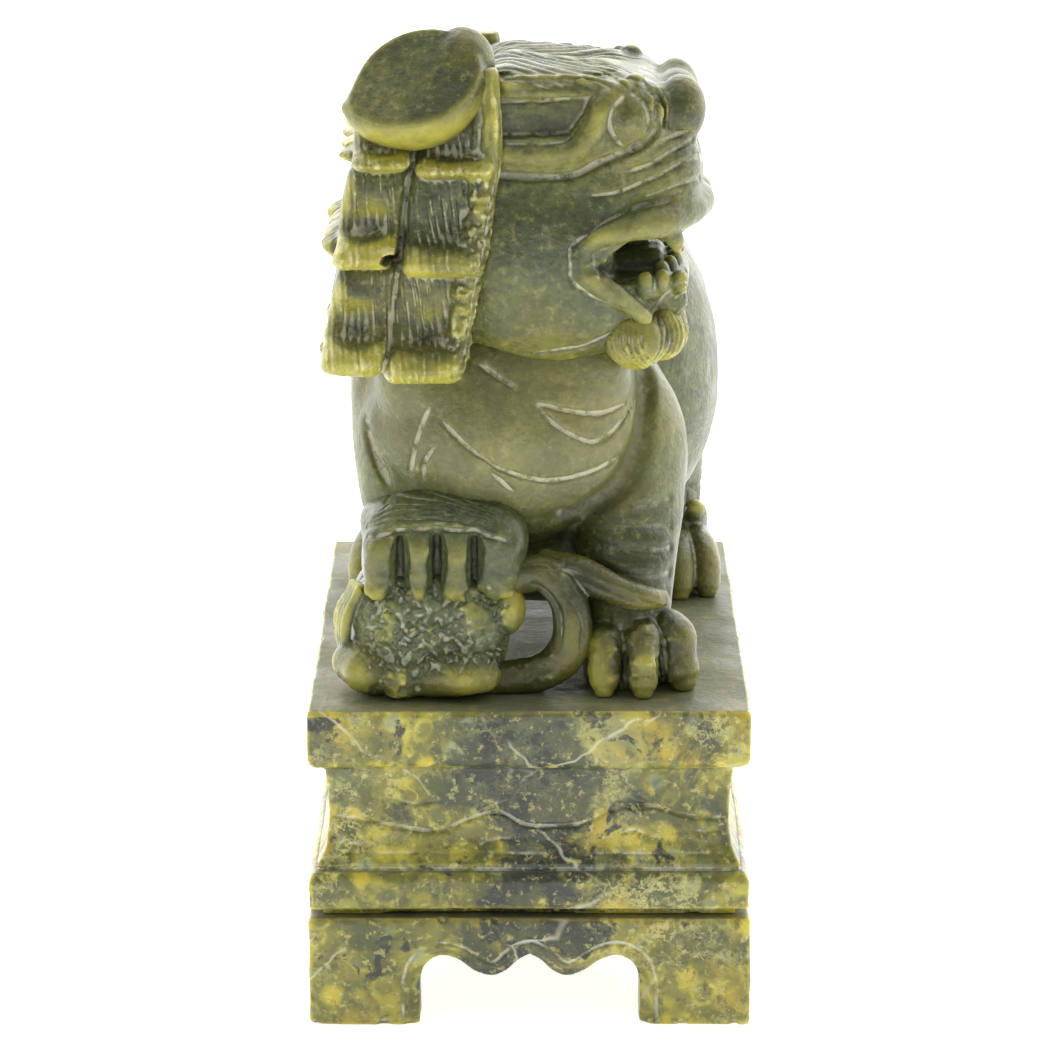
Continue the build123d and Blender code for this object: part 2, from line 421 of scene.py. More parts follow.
    def piece(self, name, node, material, rise=0.0, thin_glow=0.0, shade=0.0):
        """One closed mesh of the clay, standing for a CAD node and riding on the body of the same name.
        Where the thin-glow value is 1, faces that look down are painted yellow, a painted glow for light let
        through from below; shade paints it darker as painted shade, or paler as painted light under 0."""
        band = 3 * self.voxel
        grid = openvdb.FloatGrid()
        grid.background = band
        grid.copyFromArray(np.clip(self.field, -band, band))
        points, quads = grid.convertToQuads(0.0)
        points = points.astype(float) * self.voxel + self.low
        points, quads = largest_part(points, quads)
        values = {label: self.relief(points, reach) for label, reach in RELIEF_REACH.items()}
        for label, value in (("thin_glow", thin_glow), ("shade", shade)):
            values[label] = value(points) if callable(value) else np.full(len(points), value)
        corners = points[quads]
        swept = np.einsum("ij,ij->i", corners[:, 0], np.cross(corners[:, 1], corners[:, 2])).sum()
        if swept < 0:
            quads = quads[:, ::-1]
        mesh = bpy.data.meshes.new(name)
        mesh.vertices.add(len(points))
        mesh.vertices.foreach_set("co", ((points + (0, 0, rise)) * MM).ravel())
        mesh.loops.add(quads.size)
        mesh.loops.foreach_set("vertex_index", quads.ravel().astype(np.int32))
        mesh.polygons.add(len(quads))
        mesh.polygons.foreach_set("loop_start", np.arange(0, quads.size, 4, dtype=np.int32))
        mesh.polygons.foreach_set("use_smooth", np.ones(len(quads), bool))
        mesh.update(calc_edges=True)
        for label, value in values.items():
            layer = mesh.attributes.new(label, "FLOAT", "POINT")
            layer.data.foreach_set("value", value.astype(np.float32))
        made = bpy.data.objects.new(name, mesh)
        bpy.context.scene.collection.objects.link(made)
        mesh.materials.append(material)
        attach(made, node)
        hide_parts(node)


def largest_part(points, quads):
    """Drops every loose crumb of the mesh, and keeps its largest connected part."""
    label = np.arange(len(points))
    a = quads.ravel()
    b = np.roll(quads, -1, axis=1).ravel()
    while True:
        low = np.minimum(label[a], label[b])
        new = label.copy()
        np.minimum.at(new, a, low)
        np.minimum.at(new, b, low)
        new = new[new]
        new = new[new]
        if (new == label).all():
            break
        label = new
    names, counts = np.unique(label, return_counts=True)
    keep = label == names[counts.argmax()]
    index = np.cumsum(keep) - 1
    return points[keep], index[quads[keep[quads[:, 0]]]]


# ---------------------------------------------------------------- the head
def make_head(stone):
    clay = Clay((-27, -54, 54), (37, HEAD_Y, 118), 0.35)
    clay.add(block((-3, HEAD_Y, 88.3), (46, 40, 48.5), 8))
    clay.add(ball((1, -30.5, 80), (21, 17.8, 21)), 5)  # cheek
    clay.add(ball((6, -31, 68.6), (17, 14.6, 10.4)), 4)
    clay.cut(beyond((0, -47.8, 67), (0.08, -0.86, -0.5)), 4)  # the jaw turns under
    clay.add(block((8, HEAD_Y, 104.4), (33, 40.5, 15.6), 5, (0, 7, 0)), 2)  # brow
    clay.add(block((19.6, HEAD_Y, 94.4), (21.6, 37, 17.5), 7.5), 3)  # muzzle
    clay.add(ball((26.2, HEAD_Y, 92), (4.7, 16, 8.4)), 3)
    clay.add(block((19.6, HEAD_Y, 71.2), (17.6, 30, 9.6), 3.5, (0, -8, 0)), 2.5)  # lower jaw

    clay.polish((2, -46, 78), (18, 10, 20), 2.0)

    # the mouth, its lips and its rough corner
    hole = [(11.2, 78), (14.2, 80.8), (18.5, 83.2), (25, 82.8), (29, 83.4), (40, 84), (40, 75), (24.5, 75.4),
            (20.5, 75), (14.6, 75)]
    clay.cut(prism(hole, 1, -60, HEAD_Y), 0.8)
    clay.cut(block((33, HEAD_Y, 79.6), (21, 30, 7.6), 2), 1)
    clay.add(tube([(9.2, -46.4, 80.6, 1.3), (10.6, -46.7, 83.2, 1.6), (14.5, -46.2, 84.9, 1.9),
                   (19, -44.6, 85.8, 2.4), (24, -41.8, 86.5, 3.0), (28, -36.5, 87.2, 3.3),
                   (30, -30.5, 87.4, 3.2), (30.4, HEAD_Y, 87.6, 3.0)]), 1.2)
    clay.add(tube([(9.2, -46.4, 80, 1.4), (10.1, -46.5, 77.2, 1.8), (13.1, -46, 74.8, 2.0),
                   (16.9, -44.8, 72.2, 2.0), (20.2, -42.4, 69, 1.9), (21.6, -40, 67, 1.6)]), 1.0)
    clay.draw([[(7.2, 79), (7.4, 82.6), (11.4, 85.6), (17, 88.2), (22.8, 90), (28, 91.8)],
               [(7.2, 79.6), (7.6, 76.4), (11, 73.6), (15.6, 70.8), (18.8, 67.6)]], 0.55, 0.4, 0.3)
    clay.add(tube([(20, -40.5, 73.4, 2.3), (24.4, -37, 73.4, 2.4), (26.6, -31, 73.6, 2.3),
                   (27, HEAD_Y, 73.8, 2.2)]), 0.8)
    for x, h in ((20.6, 75), (23.6, 75.2), (26.6, 74.8)):  # lower side teeth
        clay.add(ball((x, -41.6 + 0.4 * (x - 20), h - 0.4), (1.9, 2.0, 2.5), (0, 8, 0)), 0.5)
    clay.add(tube([(24.6, -41, 85, 2.0), (26, -40.6, 82.6, 1.7), (26.4, -40.2, 81, 1.0)]), 0.6)  # upper fang
    for i in range(7):  # hair on the chin, drawn back from its point
        clay.draw([[(28.6, 75 - 1.1 * i), (25.6, 73 - 1.15 * i), (23, 70 - 0.95 * i),
                    (21.6, 66.4 - 0.7 * i)]], 0.4, 0.45)
    clay.scuff((12.6, -46.5, 79), (3.4, 4, 3), [(1.1, 0.5)], 5)

    # the brow: hair over it, a band, the sunk panel, the band round the eye socket, and the eye
    panel = [(-7, 108.6), (4, 108.8), (11.3, 109.4), (9.8, 105.6), (7.2, 102), (-7, 101.6)]
    clay.cut(prism(panel, 1, -60, -42.4), 1.6)
    clay.emboss([drawn([(-6.5, 111), (5, 111.4), (12.6, 110.6), (19, 110)])], NEAR, 1.3, 0.9, 0.5)
    clay.emboss([drawn([(-6.5, 98.6), (2.6, 98.4), (8, 99.4), (11.2, 102.6), (12.8, 106.4), (15, 109.2),
                        (18.6, 110.2)])], NEAR, 2.2, 1.5, 0.6)
    clay.draw([[(-6, 100.9), (3, 100.8), (7.2, 101.9), (9.8, 105.2), (11.6, 109)],
               [(-6, 107.6), (3, 107.9), (10, 108.6)]], 0.4, 0.35, 0.15)
    clay.emboss([drawn([(16.4, 102.6), (17.6, 105), (18, 107)])], NEAR, 3.4, 1.1, 1.2)
    clay.scuff((2, -42.6, 105), (12, 4, 5), [(2.1, 0.2)], 15)
    eye = [(17.6, 110), (14.6, 106.6), (14.4, 103), (17, 99.8), (19.8, 101.2), (21.2, 104.6), (20, 108),
           (17.6, 110)]
    clay.draw([eye, [(22.2, 110.4), (22.6, 106), (22.2, 103)]], 0.5, 0.6, 0.2)
    clay.draw([[(-6.5, 95), (2, 94.7), (7.6, 95), (12.6, 97.3), (17, 99), (21.5, 101.6), (23.4, 104)]], 0.8,
              1.0, 0.5)

    # nose and whisker creases
    clay.add(ball((26.8, HEAD_Y, 105), (4.6, 10.5, 5.8)), 1.2)
    clay.add(ball((27.0, -34.4, 105), (4.2, 5.6, 6.0)), 1.5)
    clay.cut(ball((31.4, -33, 102.6), (1.6, 2.2, 1.6)), 0.6)
    clay.cut(tube([(21.4, -44, 112, 1.0), (22.8, -41.4, 108.4, 1.2), (23.4, -41, 104, 0.9)]), 0.6)
    creases = [[(31, 97.2), (27, 96.6), (22, 94.2), (16, 91.9), (9.8, 91.3)],
               [(30.4, 100.4), (26, 99.3), (21.6, 96.6), (17, 95)],
               [(31.4, 93.4), (27, 92.8), (23, 91.4), (19, 90)], [(28.6, 101.6), (25, 101.2), (22, 99.4)],
               [(26, 90.4), (21, 88.9)]]
    clay.draw(creases, 0.5, 0.5, 0.25)
    clay.engrave([[(46, -35, 97), (46, -28, 99), (46, HEAD_Y, 99.4)],
                  [(46, -37, 92.6), (46, -30, 95), (46, HEAD_Y, 95.4)],
                  [(46, HEAD_Y, 92), (46, HEAD_Y, 84)]], (-1, 0, 0), 0.5, 0.6, 0.3)

    # hair over the crown, drawn back from the brow in uneven strands
    rng = np.random.default_rng(3)
    for i in range(11):
        x = -32 + 4.4 * i + rng.uniform(-0.8, 0.8)
        bend = rng.uniform(-0.7, 0.7, 5)
        line = [(x + 24 * t, HEAD_Y - 0.6 - 18.4 * t + b, 118) for t, b in zip(np.linspace(0, 1, 5), bend)]
        line = [(a, max(b, -43.6), c) for a, b, c in line if a < 21]
        if len(line) > 1:
            clay.engrave([line], (0, 0, -1), rng.uniform(0.5, 0.9), rng.uniform(0.4, 0.8), 0.6)
    for i in range(6):
        line = [(-6 + 4 * i, 112.3), (-1 + 4 * i, 111.7), (4 + 3.6 * i, 110.3)]
        clay.draw([line], 0.55, 0.6, 0.3)
    clay.scuff((20, -43, 109.6), (4, 4, 2.4), [(1.3, 0.35)], 6)
    clay.draw([[(-10.5, 62.6), (-3.8, 62.2), (2.6, 62.4), (9, 63.4), (14.5, 65.8), (18.4, 68.2)]], 0.5, 0.45,
              0.2)
    clay.mirrored()
    clay.add(block((15, HEAD_Y, 75.4), (20, 12, 5), 2.4, (0, -6, 0)), 1.0)  # tongue
    clay.add(block((12, HEAD_Y, 79), (6, 30, 14), 2.4), 1.0)  # throat
    for i in range(6):  # front teeth
        y = HEAD_Y + 4.6 * (i - 2.5)
        clay.add(ball((26.4 - 0.02 * (y - HEAD_Y) ** 2, y, 75.8), (1.7, 2.1, 2.3)), 0.4)
        clay.add(ball((28.2 - 0.02 * (y - HEAD_Y) ** 2, y, 83.8), (1.6, 2.1, 2.1)), 0.4)
    clay.roughen([(11, 0.4), (3.2, 0.16)], 11)
    clay.piece("lion_head", "lion", stone, SEAT_MM, 0.25)


def make_ears(stone):
    """Thick leaf-shaped pads with a flat face that looks out and up. The left one is set lower."""
    for side in (-1, 1):
        clay = Clay((-36, -57, 94), (-1, -34, 126), 0.33)
        clay.add(ball((-19.2, -45.2, 110.5), (12.2, 9.4, 10.2), (0, -24, 0)))
        clay.add(tube([(-20, -46, 108.6, 6.6), (-27, -47.4, 106.9, 4.4), (-32, -47.6, 107.4, 1.0)]), 4)
        clay.cut(beyond((-20, -50.6, 110), (-0.12, -0.79, 0.6)), 0.35)
        clay.add(ball((-11.6, -42.2, 114.8), (5.4, 5.6, 6.2), (0, -12, 0)), 0.4)
        clay.add(ball((-17, -40, 108), (11, 6, 9)), 0.6)
        clay.roughen([(12, 0.15)], 31)
        if side > 0:
            clay.field = clay.field[:, ::-1]
            clay.low[1] = 2 * HEAD_Y - (clay.low[1] + clay.voxel * (clay.field.shape[1] - 1))
            clay.low[2] -= 7.4
        clay.piece("lion_ear_right" if side < 0 else "lion_ear_left", "lion", stone, SEAT_MM, 1.0, 0.12)


# ---------------------------------------------------------------- the mane
def make_mane(stone):
    clay = Clay((-41, -57, 56), (-2, HEAD_Y, 114), 0.3)
    clay.add(block((-17, HEAD_Y, 86), (20, 34, 49), 6))
    tiers = [
        # top, bottom, middle plane to the side face, x of the rear face, and each near lock's
        # (x, width, lean, scoop)
        (107, 95, 21.0, -27.3, [(-13, 13.8, -0.8, 1.6), (-25.8, 10.4, -1.0, 1.4)]),
        (97, 77.3, 21.6, -30.4, [(-14.9, 14.2, -1.8, 2.2), (-28, 11.0, -3.4, 4.2)]),
        (79.5, 58.2, 21.8, -31.0, [(-17.9, 14.2, -2.0, 3.6), (-30.2, 11.4, -3.6, 4.2)]),
    ]
    seed = 50
    for top, bottom, reach, rear, near in tiers:
        for y, wide in ((-29.4, 10.8), (-39.4, 9.4)):
            clay.add(lock(rear, y, -90, top - 0.6, bottom + 1.6, wide, 0.6, 2.8, seed), 0.3)
            seed += 1
        for x, wide, lean, scoop in near:
            rise = 0 if x > -20 else 1.3
            clay.add(lock(x, HEAD_Y - reach, 0, top, bottom + rise, wide, lean, scoop, seed), 0.3)
            seed += 1
    # the mane's front edge, a rough strip down beside the cheek
    clay.add(tube([(-8.0, -45, 112.5, 2.6), (-7.6, -45.6, 104, 2.6), (-8, -46.2, 95, 2.6),
                   (-9.4, -46.8, 85, 2.6), (-11.2, -47, 75, 2.6), (-12.4, -46.8, 67, 2.5),
                   (-14.2, -46, 60, 2.4)]), 1.0)
    for h in np.arange(60, 113, 4.5):
        clay.scuff((-7.3 - 0.11 * (105 - h), -48, h), (3.6, 5, 5), [(1.5, 0.3), (0.75, 0.36)], int(h))
    clay.cut(tube([(-25.2, -56, 80.4, 1.2), (-24.6, -44, 81, 1.0)]), 0.5)
    clay.draw([[(-5.6, 112), (-5.4, 104.5), (-5.9, 94.5), (-7.4, 85), (-9.4, 75), (-10.6, 67), (-12.4, 60)]],
              0.5, 0.5, 0.2)
    clay.mirrored()
    clay.roughen([(9, 0.4), (3.0, 0.2)], 71)
    clay.piece("lion_mane", "lion", stone, SEAT_MM, 1.0)


def make_beard(stone):
    """Round curls of hair under the chin."""
    clay = Clay((8, -49, 54), (31, HEAD_Y, 73), 0.33)
    clay.add(ball((19, -40.6, 62.8), (5.8, 4.6, 5.2)))
    clay.add(ball((24, -37, 63.4), (4.2, 4.4, 5.0)), 0.4)
    clay.add(ball((24.6, -29.6, 62.2), (4.2, 4.4, 5.4)), 0.4)
    clay.add(ball((24, HEAD_Y, 61.5), (4.4, 3.6, 6)), 0.6)
    clay.add(block((14, HEAD_Y, 65), (18, 28, 7), 3), 1)
    for i in range(6):  # hair that sweeps down round each curl
        k = 0.95 * i
        clay.draw([[(15.2 + k, 66.4), (14.4 + k * 1.2, 63), (15.6 + k * 1.25, 59.8), (18 + k, 58)],
                   [(22.6 + k * 0.9, 67.6), (23.6 + k, 64.4), (23 + k, 61), (21.4 + k, 59)]], 0.35, 0.45,
                  0.15)
    for i in range(6):
        y = HEAD_Y - 1 - 2.4 * i
        clay.engrave([[(46, y, 68), (46, y - 0.4, 63), (46, y - 1.5, 57)]], (-1, 0, 0), 0.35, 0.4)
    clay.mirrored()
    clay.roughen([(5, 0.25), (1.6, 0.12)], 81)
    clay.piece("lion_beard", "lion", stone, SEAT_MM + 1.4, 1.0)


# ---------------------------------------------------------------- body and limbs
def make_body(stone):
    clay = Clay((-38, -50, 6), (41, 60, 84), 0.45)
    clay.add(tube([(-4, -22, 45, 23), (-2, -4, 45, 22.5), (0, 16, 45, 23), (1, 32, 44, 23)], 2))
    clay.add(ball((-5.4, -27, 45), (26, 17.6, 19.5)), 5)  # chest
    clay.add(block((-5, -26, 57), (46, 30, 14), 6), 4)  # neck
    clay.add(tube([(1, 0, 62, 8), (1, 18, 66, 8), (1, 34, 66, 9), (1, 44, 56, 8)], 2), 6)  # spine
    clay.add(tube([(12, -18, 51, 11.5), (16.4, -22, 41, 12.4), (17.6, -27, 31, 10.8), (17.6, -33, 22, 9.2),
                   (17.2, -36.5, 12, 8.4)]), 1.6)  # left foreleg
    clay.add(tube([(-24, -20, 56, 9), (-24.4, -24, 44, 8.4), (-22.4, -32, 34, 8.6)]), 1.4)  # right upper arm
    for side in (-1, 1):
        x = 1 + side * 18
        clay.add(ball((x, 24, 45), (17.6, 25, 31), (8, 0, 0)), 2.0)  # haunch
        clay.add(tube([(x + side * 4, 37, 30, 12), (x + side * 7.5, 43, 19, 8),
                       (x + side * 8.5, 40, 8, 6.5)]), 3)
        # folds where the haunch meets the belly, and hair on the hock
        clay.engrave([[(side * 60, 2, 62), (side * 60, -1.5, 50), (side * 60, 0, 38), (side * 60, 6, 26)]],
                     (-side, 0, 0), 0.8, 0.7, 0.6)
        for i in range(4):
            h = 26 - 3.2 * i
            clay.engrave([[(side * 60, 50, h + 4), (side * 60, 46, h + 1), (side * 60, 41, h)]],
                         (-side, 0, 0), 0.5, 0.5)
    clay.add(block((0, 6, 22), (32, 66, 25), 8), 3)  # the low belly

    # straps and folds cut across the chest
    chest = [[(-18, 52.5), (-20.5, 46), (-22, 38.5)], [(-17, 45.5), (-19, 42), (-19.5, 38)],
             [(-16, 50), (-11, 45.5), (-6.4, 42.4)], [(-8.4, 43.7), (-5, 41.5), (3, 39), (10, 39.5),
                                                      (17, 41.5)], [(-7.5, 41.5), (-2.5, 36.5)],
             [(1, 53.5), (4.5, 49.5), (9, 46.5), (12, 45.5), (15.5, 47), (20, 52.5)],
             [(1, 53.5), (7.5, 51.5), (13, 50.5), (17.5, 51.5)], [(-9.5, 60.5), (-2, 55.5)]]
    clay.draw(chest, 0.6, 0.66, 0.1)
    clay.draw([[(-30.6, 47), (-28.6, 42), (-25.6, 37)]], 1.0, 1.6, 0.8)
    clay.draw([[(21.6, 55), (20.8, 48), (19.8, 42.6), (17.4, 37.6), (13.6, 34.2), (9.6, 32), (4, 30)]], 2.0,
              2.0, 2.0)
    shin = [[(15, 29), (20, 29.6), (26, 28.6)], [(12, 26), (16, 25.4), (20, 25.4), (26, 24.6)],
            [(12, 22), (16, 21), (20, 20.4), (26, 20)], [(12, 18), (16, 16.8), (21, 16.4), (25.6, 16.4)],
            [(18, 33), (22, 32.6), (26, 33.2)]]
    clay.draw(shin, 1.0, 0.5, 0.9)
    for i in range(3):  # hair at the back of the near foreleg
        clay.engrave([[(60, -24 + 2 * i, 28 - 3 * i), (60, -20, 33 - 3 * i)]], (-1, 0, 0), 0.5, 0.5)
    clay.roughen([(14, 0.5), (4, 0.16)], 101)

    def shade(points):
        """Painted light and shade: pale, less so at the rear, and darker on the forelegs."""
        low = np.clip((34 - points[:, 2]) / 14, 0, 1) * np.clip((-12 - points[:, 1]) / 10, 0, 1)
        rear = np.clip((points[:, 1] + 5) / 15, 0, 1)
        return (0.3 * rear - 0.42) * (1 - low) + 0.3 * low

    clay.piece("lion_body", "lion", stone, SEAT_MM, 0.0, shade)


def add_toe(clay, x, y, back, height, radius, turn=0.0):
    """A long knuckled toe that bends down to a blunt claw at (x, y). It comes from back behind that."""
    dx, dy = math.sin(math.radians(turn)), -math.cos(math.radians(turn))

    def at(behind, h, r):
        return (x - dx * behind, y - dy * behind, h, r)

    clay.add(tube([at(back, height * 0.8, radius * 1.05), at(back * 0.5, height * 0.72, radius),
                   at(radius * 1.2, height * 0.5, radius * 0.96),
                   at(radius * 0.95, radius * 0.9, radius * 0.9)]), 0.3)
    clay.add(tube([at(radius * 1.1, radius * 1.1, radius * 0.74),
                   at(radius * 0.7, radius * 0.4, radius * 0.62)]), 0.2)


def make_left_forefoot(stone):
    clay = Clay((3, -57, -2), (36, -26, 20), 0.33)
    clay.add(tube([(17.4, -36, 15, 7.8), (17.6, -38, 8, 8.2), (18.2, -38, 3, 8.4)]))
    add_toe(clay, 13.4, -51.4, 12, 12.6, 3.15, -4)
    add_toe(clay, 20.6, -52.2, 13, 13.6, 3.15, 2)
    add_toe(clay, 29.8, -47.0, 12, 13.0, 4.1, 38)
    add_toe(clay, 30.6, -39.4, 9, 9.6, 3.6, 76)
    clay.draw([[(17.3, 10), (17.5, 5), (17.6, 0)], [(24.4, 10), (24.6, 5), (24.8, 0)]], 0.7, 1.0, 0.2)
    clay.scuff((17, -48, 8), (11, 9, 8), [(2.4, 0.45), (1.1, 0.3)], 8)
    clay.roughen([(6, 0.25), (2.4, 0.12)], 131)
    clay.keep_above(0.0)
    clay.piece("lion_left_forefoot", "lion", stone, SEAT_MM, 0.0, 0.25)


def make_right_forepaw(stone):
    """A broad paw laid on the cub: a combed dome, and four square-ended toes with deep slots between."""
    clay = Clay((-35, -57, 13), (4, -26, 41), 0.33)
    clay.add(block((-15.2, -39.6, 26.4), (29.4, 20, 17.6), 6.5, (6, 0, 0)))
    clay.add(ball((-16.4, -39, 30), (14.2, 10, 6.6)), 2)
    clay.add(block((-15.2, -43.4, 25), (29.4, 10, 12), 4.2, (-4, 0, 0)), 1.5)
    toes = ((-26.8, 6.2, 0.6), (-20, 6.4, 0), (-13.3, 6.2, 0), (-5.6, 8.4, 1.4))
    for x, wide, back in toes:
        clay.add(block((x, -45.8 + back, 24.9), (wide, 9, 11.2), 3.0, (-5, 0, 0)), 1.0)
        clay.add(ball((x - 0.3, -48 + back, 20), (wide * 0.42, 2.6, 2.9)), 0.5)
        clay.add(ball((x + 0.2, -49 + back, 26.6), (wide * 0.4, 1.9, 2.8)), 1.2)
    for x in (-23.4, -16.7, -10):
        clay.cut(tube([(x, -49.4, 30.4, 1.0), (x + 0.2, -49.6, 27, 1.5), (x, -49.6, 23, 1.5),
                       (x - 0.2, -48.6, 19.4, 0.9)]), 0.7)
        clay.cut(block((x, -48.4, 25), (1.2, 6, 10), 0.6, (-4, 0, 0)), 0.5)
    clay.draw([[(-29.4, 29.6), (-20, 31.4), (-10, 30.8), (-3, 28.8)]], 0.55, 0.7, 0.3)
    for i in range(7):  # hair combed across the dome
        clay.draw([[(-29.6 + i * 0.8, 30.6 + i), (-24, 32.6 + i * 0.8), (-15, 33 + i * 0.6),
                    (-5, 30.6 + i * 0.5)]], 0.35, 0.4, 0.15)
    clay.scuff((-9, -48, 18.5), (9, 5, 3.6), [(1.4, 0.5)], 9)
    clay.scuff((-24, -48, 18.5), (9, 5, 3.6), [(1.4, 0.5)], 10)
    clay.roughen([(6, 0.3), (2.4, 0.16)], 141)
    clay.piece("lion_right_forepaw", "lion", stone, SEAT_MM, 0.3, 0.35)


def make_hind_feet(stone):
    for side, name in ((1, "left"), (-1, "right")):
        x = 1 + side * 27
        clay = Clay((min(x - 13, x + 13), 8, -2), (max(x - 13, x + 13), 56, 24), 0.36)
        clay.add(tube([(x - side, 41, 14, 6.6), (x, 38, 8, 7), (x + side * 2, 30, 6, 6.8)]))
        clay.add(block((x + side, 33, 3.5), (13, 24, 8), 3.4), 2)
        for dx, y, turn in ((-4.2, 14.6, -8), (1.4, 13.4, 2), (7.2, 15.4, 12)):
            add_toe(clay, x + side * dx, y, 15, 11.5, 3.1, side * turn)
        clay.add(tube([(x + side * 4.4, 31, 11.6, 2.8), (x + side * 4.6, 28.4, 14, 2.4),
                       (x + side * 4.4, 27, 15.4, 1.7)]), 0.8)
        for i in range(3):
            clay.engrave([[(side * 60, 44 - 4 * i, 16), (side * 60, 42 - 4 * i, 12),
                           (side * 60, 42 - 4 * i, 8)]], (-side, 0, 0), 0.45, 0.45)
        clay.roughen([(6, 0.22), (2.4, 0.1)], 151 + side)
        clay.keep_above(0.0)
        clay.piece(f"lion_{name}_hind_foot", "lion", stone, SEAT_MM, 0.0, -0.3)


def make_cub(stone):
    """The cub lies on its back under the paw: a furry lump with its feet as smooth knobs."""
    clay = Clay((-39, -59, -2), (3, -20, 27), 0.34)
    clay.add(block((-18.4, -37.2, 11), (28, 25, 21), 7))
    clay.add(ball((-17.5, -45, 12), (13.5, 6.2, 9.5)), 3)
    clay.add(block((-19, -46.5, 3.4), (26, 9, 6.8), 3), 1.5)
    clay.add(tube([(-31.4, -46, 5.6, 4.4), (-30, -49.6, 5.2, 4.2)]), 0.6)
    clay.add(tube([(-17.4, -50, 4.2, 3.9), (-12.4, -51, 4.8, 4.2), (-8.6, -50.4, 4.6, 3.6)]), 0.6)
    clay.add(ball((-23.4, -50.4, 3.8), (4.2, 3.2, 3.8)), 1)
    clay.add(ball((-4, -45.4, 15.4), (3.4, 4.2, 4.6)), 0.5)
    for k in range(4):  # a hank of hair hanging at the cub's side
        clay.add(tube([(-30.6 - 0.5 * k, -46 + 1.1 * k, 19.4, 1.1),
                       (-33 - 0.5 * k, -46.6 + 1.1 * k, 13.6, 1.1), (-33.2 - 0.4 * k, -47 + 1.1 * k, 9, 1.1),
                       (-31.6 - 0.4 * k, -47.4 + 1.1 * k, 5.6, 1.0)]), 0.2)
    rng = np.random.default_rng(7)
    for i in range(420):  # rough fur: short crossing cuts
        x, h = rng.uniform(-30, -4), rng.uniform(6, 21)
        lean = rng.choice((-1, 1)) * rng.uniform(0.6, 1.8)
        drop = rng.uniform(0.6, 1.8)
        clay.draw([[(x - lean, h + drop), (x, h + 0.1), (x + lean, h - drop)]], 0.28, 0.4, 0.1)
    for i in range(60):
        y, h = rng.uniform(-44, -27), rng.uniform(3, 19)
        lean = rng.choice((-1, 1)) * rng.uniform(0.5, 2.0)
        clay.engrave([[(-60, y - lean, h + 1.6), (-60, y, h), (-60, y + lean, h - 1.6)]], (1, 0, 0), 0.35,
                     0.45)
    clay.scuff((-17, -49, 12), (16, 9, 10), [(2.4, 0.25), (1.1, 0.22)], 12)
    clay.scuff((-24, -52, 3), (6, 5, 5), [(1.4, 0.5)], 13)
    clay.roughen([(5, 0.35)], 161)
    clay.keep_above(0.0)
    clay.piece("lion_cub", "lion", stone, SEAT_MM)


def make_ribbon(stone):
    """A thick ribbon that loops from the cub's mouth, and trails over the left shin."""
    clay = Clay((-14, -55, -2), (34, -33, 32), 0.33)
    clay.add(tube([(-5, -44, 20, 3.0), (-1, -44.6, 21.6, 3.2), (3, -45.6, 22, 3.3), (6.4, -46.2, 18, 3.4),
                   (8.0, -46.4, 12.6, 3.5), (6.8, -46.4, 7.6, 3.5), (3, -46.2, 4, 3.3), (-3, -45.6, 2.4, 3.2),
                   (-8, -46, 2, 3)]))
    clay.add(tube([(3, -43, 23, 2.8), (8, -43.6, 22.2, 3.0), (13.6, -45.2, 19.8, 2.8), (18.4, -45, 17.8, 2.6),
                   (21.6, -43.4, 16.8, 2.3), (23.8, -41.4, 16.2, 1.9)]), 0.5)
    edges = ([(-1, 24.4), (3.4, 24.4), (7, 19.6), (9.8, 14), (9.6, 9)],
             [(0.6, 20.4), (3.2, 18.6), (5.4, 14.4), (5.6, 10)],
             [(6, 23.6), (12, 21), (18, 18.2), (22.6, 16)])
    clay.draw(edges, 0.7, 0.4, 0.5)
    clay.scuff((2, -50, 5), (8, 6, 4), [(1.4, 0.4)], 14)
    clay.roughen([(6, 0.3), (2.4, 0.14)], 171)
    clay.keep_above(0.0)
    clay.piece("lion_ribbon", "lion", stone, SEAT_MM, 0.0, 0.75)


def make_tail(stone):
    clay = Clay((-16, 34, 12), (20, 63, 96), 0.45)
    clay.add(tube([(2, 44, 24, 6), (2, 50, 34, 6.5), (2, 52, 46, 6), (2, 50, 56, 5.5)]))
    for dx, top, lean in ((0, 88, 0), (-6, 78, -4), (6, 78, 4), (-9, 66, -3), (9, 66, 3)):
        clay.add(tube([(2 + dx * 0.4, 50, 40, 4), (2 + dx, 51.5, 54, 4.6), (2 + dx + lean, 50, top - 10, 4),
                       (2 + dx + lean * 0.4, 46, top, 1.6)]), 1.0)
    clay.add(ball((-5, 51, 36), (5, 4.4, 5)), 1.0)
    clay.add(ball((9, 51, 36), (5, 4.4, 5)), 1.0)
    for x in np.arange(-9, 13.1, 1.9):
        clay.engrave([[(2 + (x - 2) * 0.6, 70, 38), (x, 70, 54), (x, 70, 66), (2 + (x - 2) * 0.6, 70, 82)]],
                     (0, -1, 0), 0.45, 0.5)
    clay.roughen([(7, 0.3)], 181)
    clay.piece("lion_tail", "lion", stone, SEAT_MM)


def make_spine_curls(stone):
    clay = Clay((-9, -8, 60), (11, 48, 84), 0.36)
    for i, y in enumerate(np.linspace(1, 42, 8)):
        h = 70.5 + 3.2 * math.sin(math.pi * (i + 1.2) / 9.5)
        clay.add(ball((1, y, h - 1.5), (5.6, 4.2, 4.2)), 0.5)
        clay.cut(ball((1, y - 0.6, h + 3.6), (2.3, 1.7, 1.9)), 0.6)
    clay.roughen([(5, 0.25)], 191)
    clay.piece("lion_spine_curls", "lion", stone, SEAT_MM)


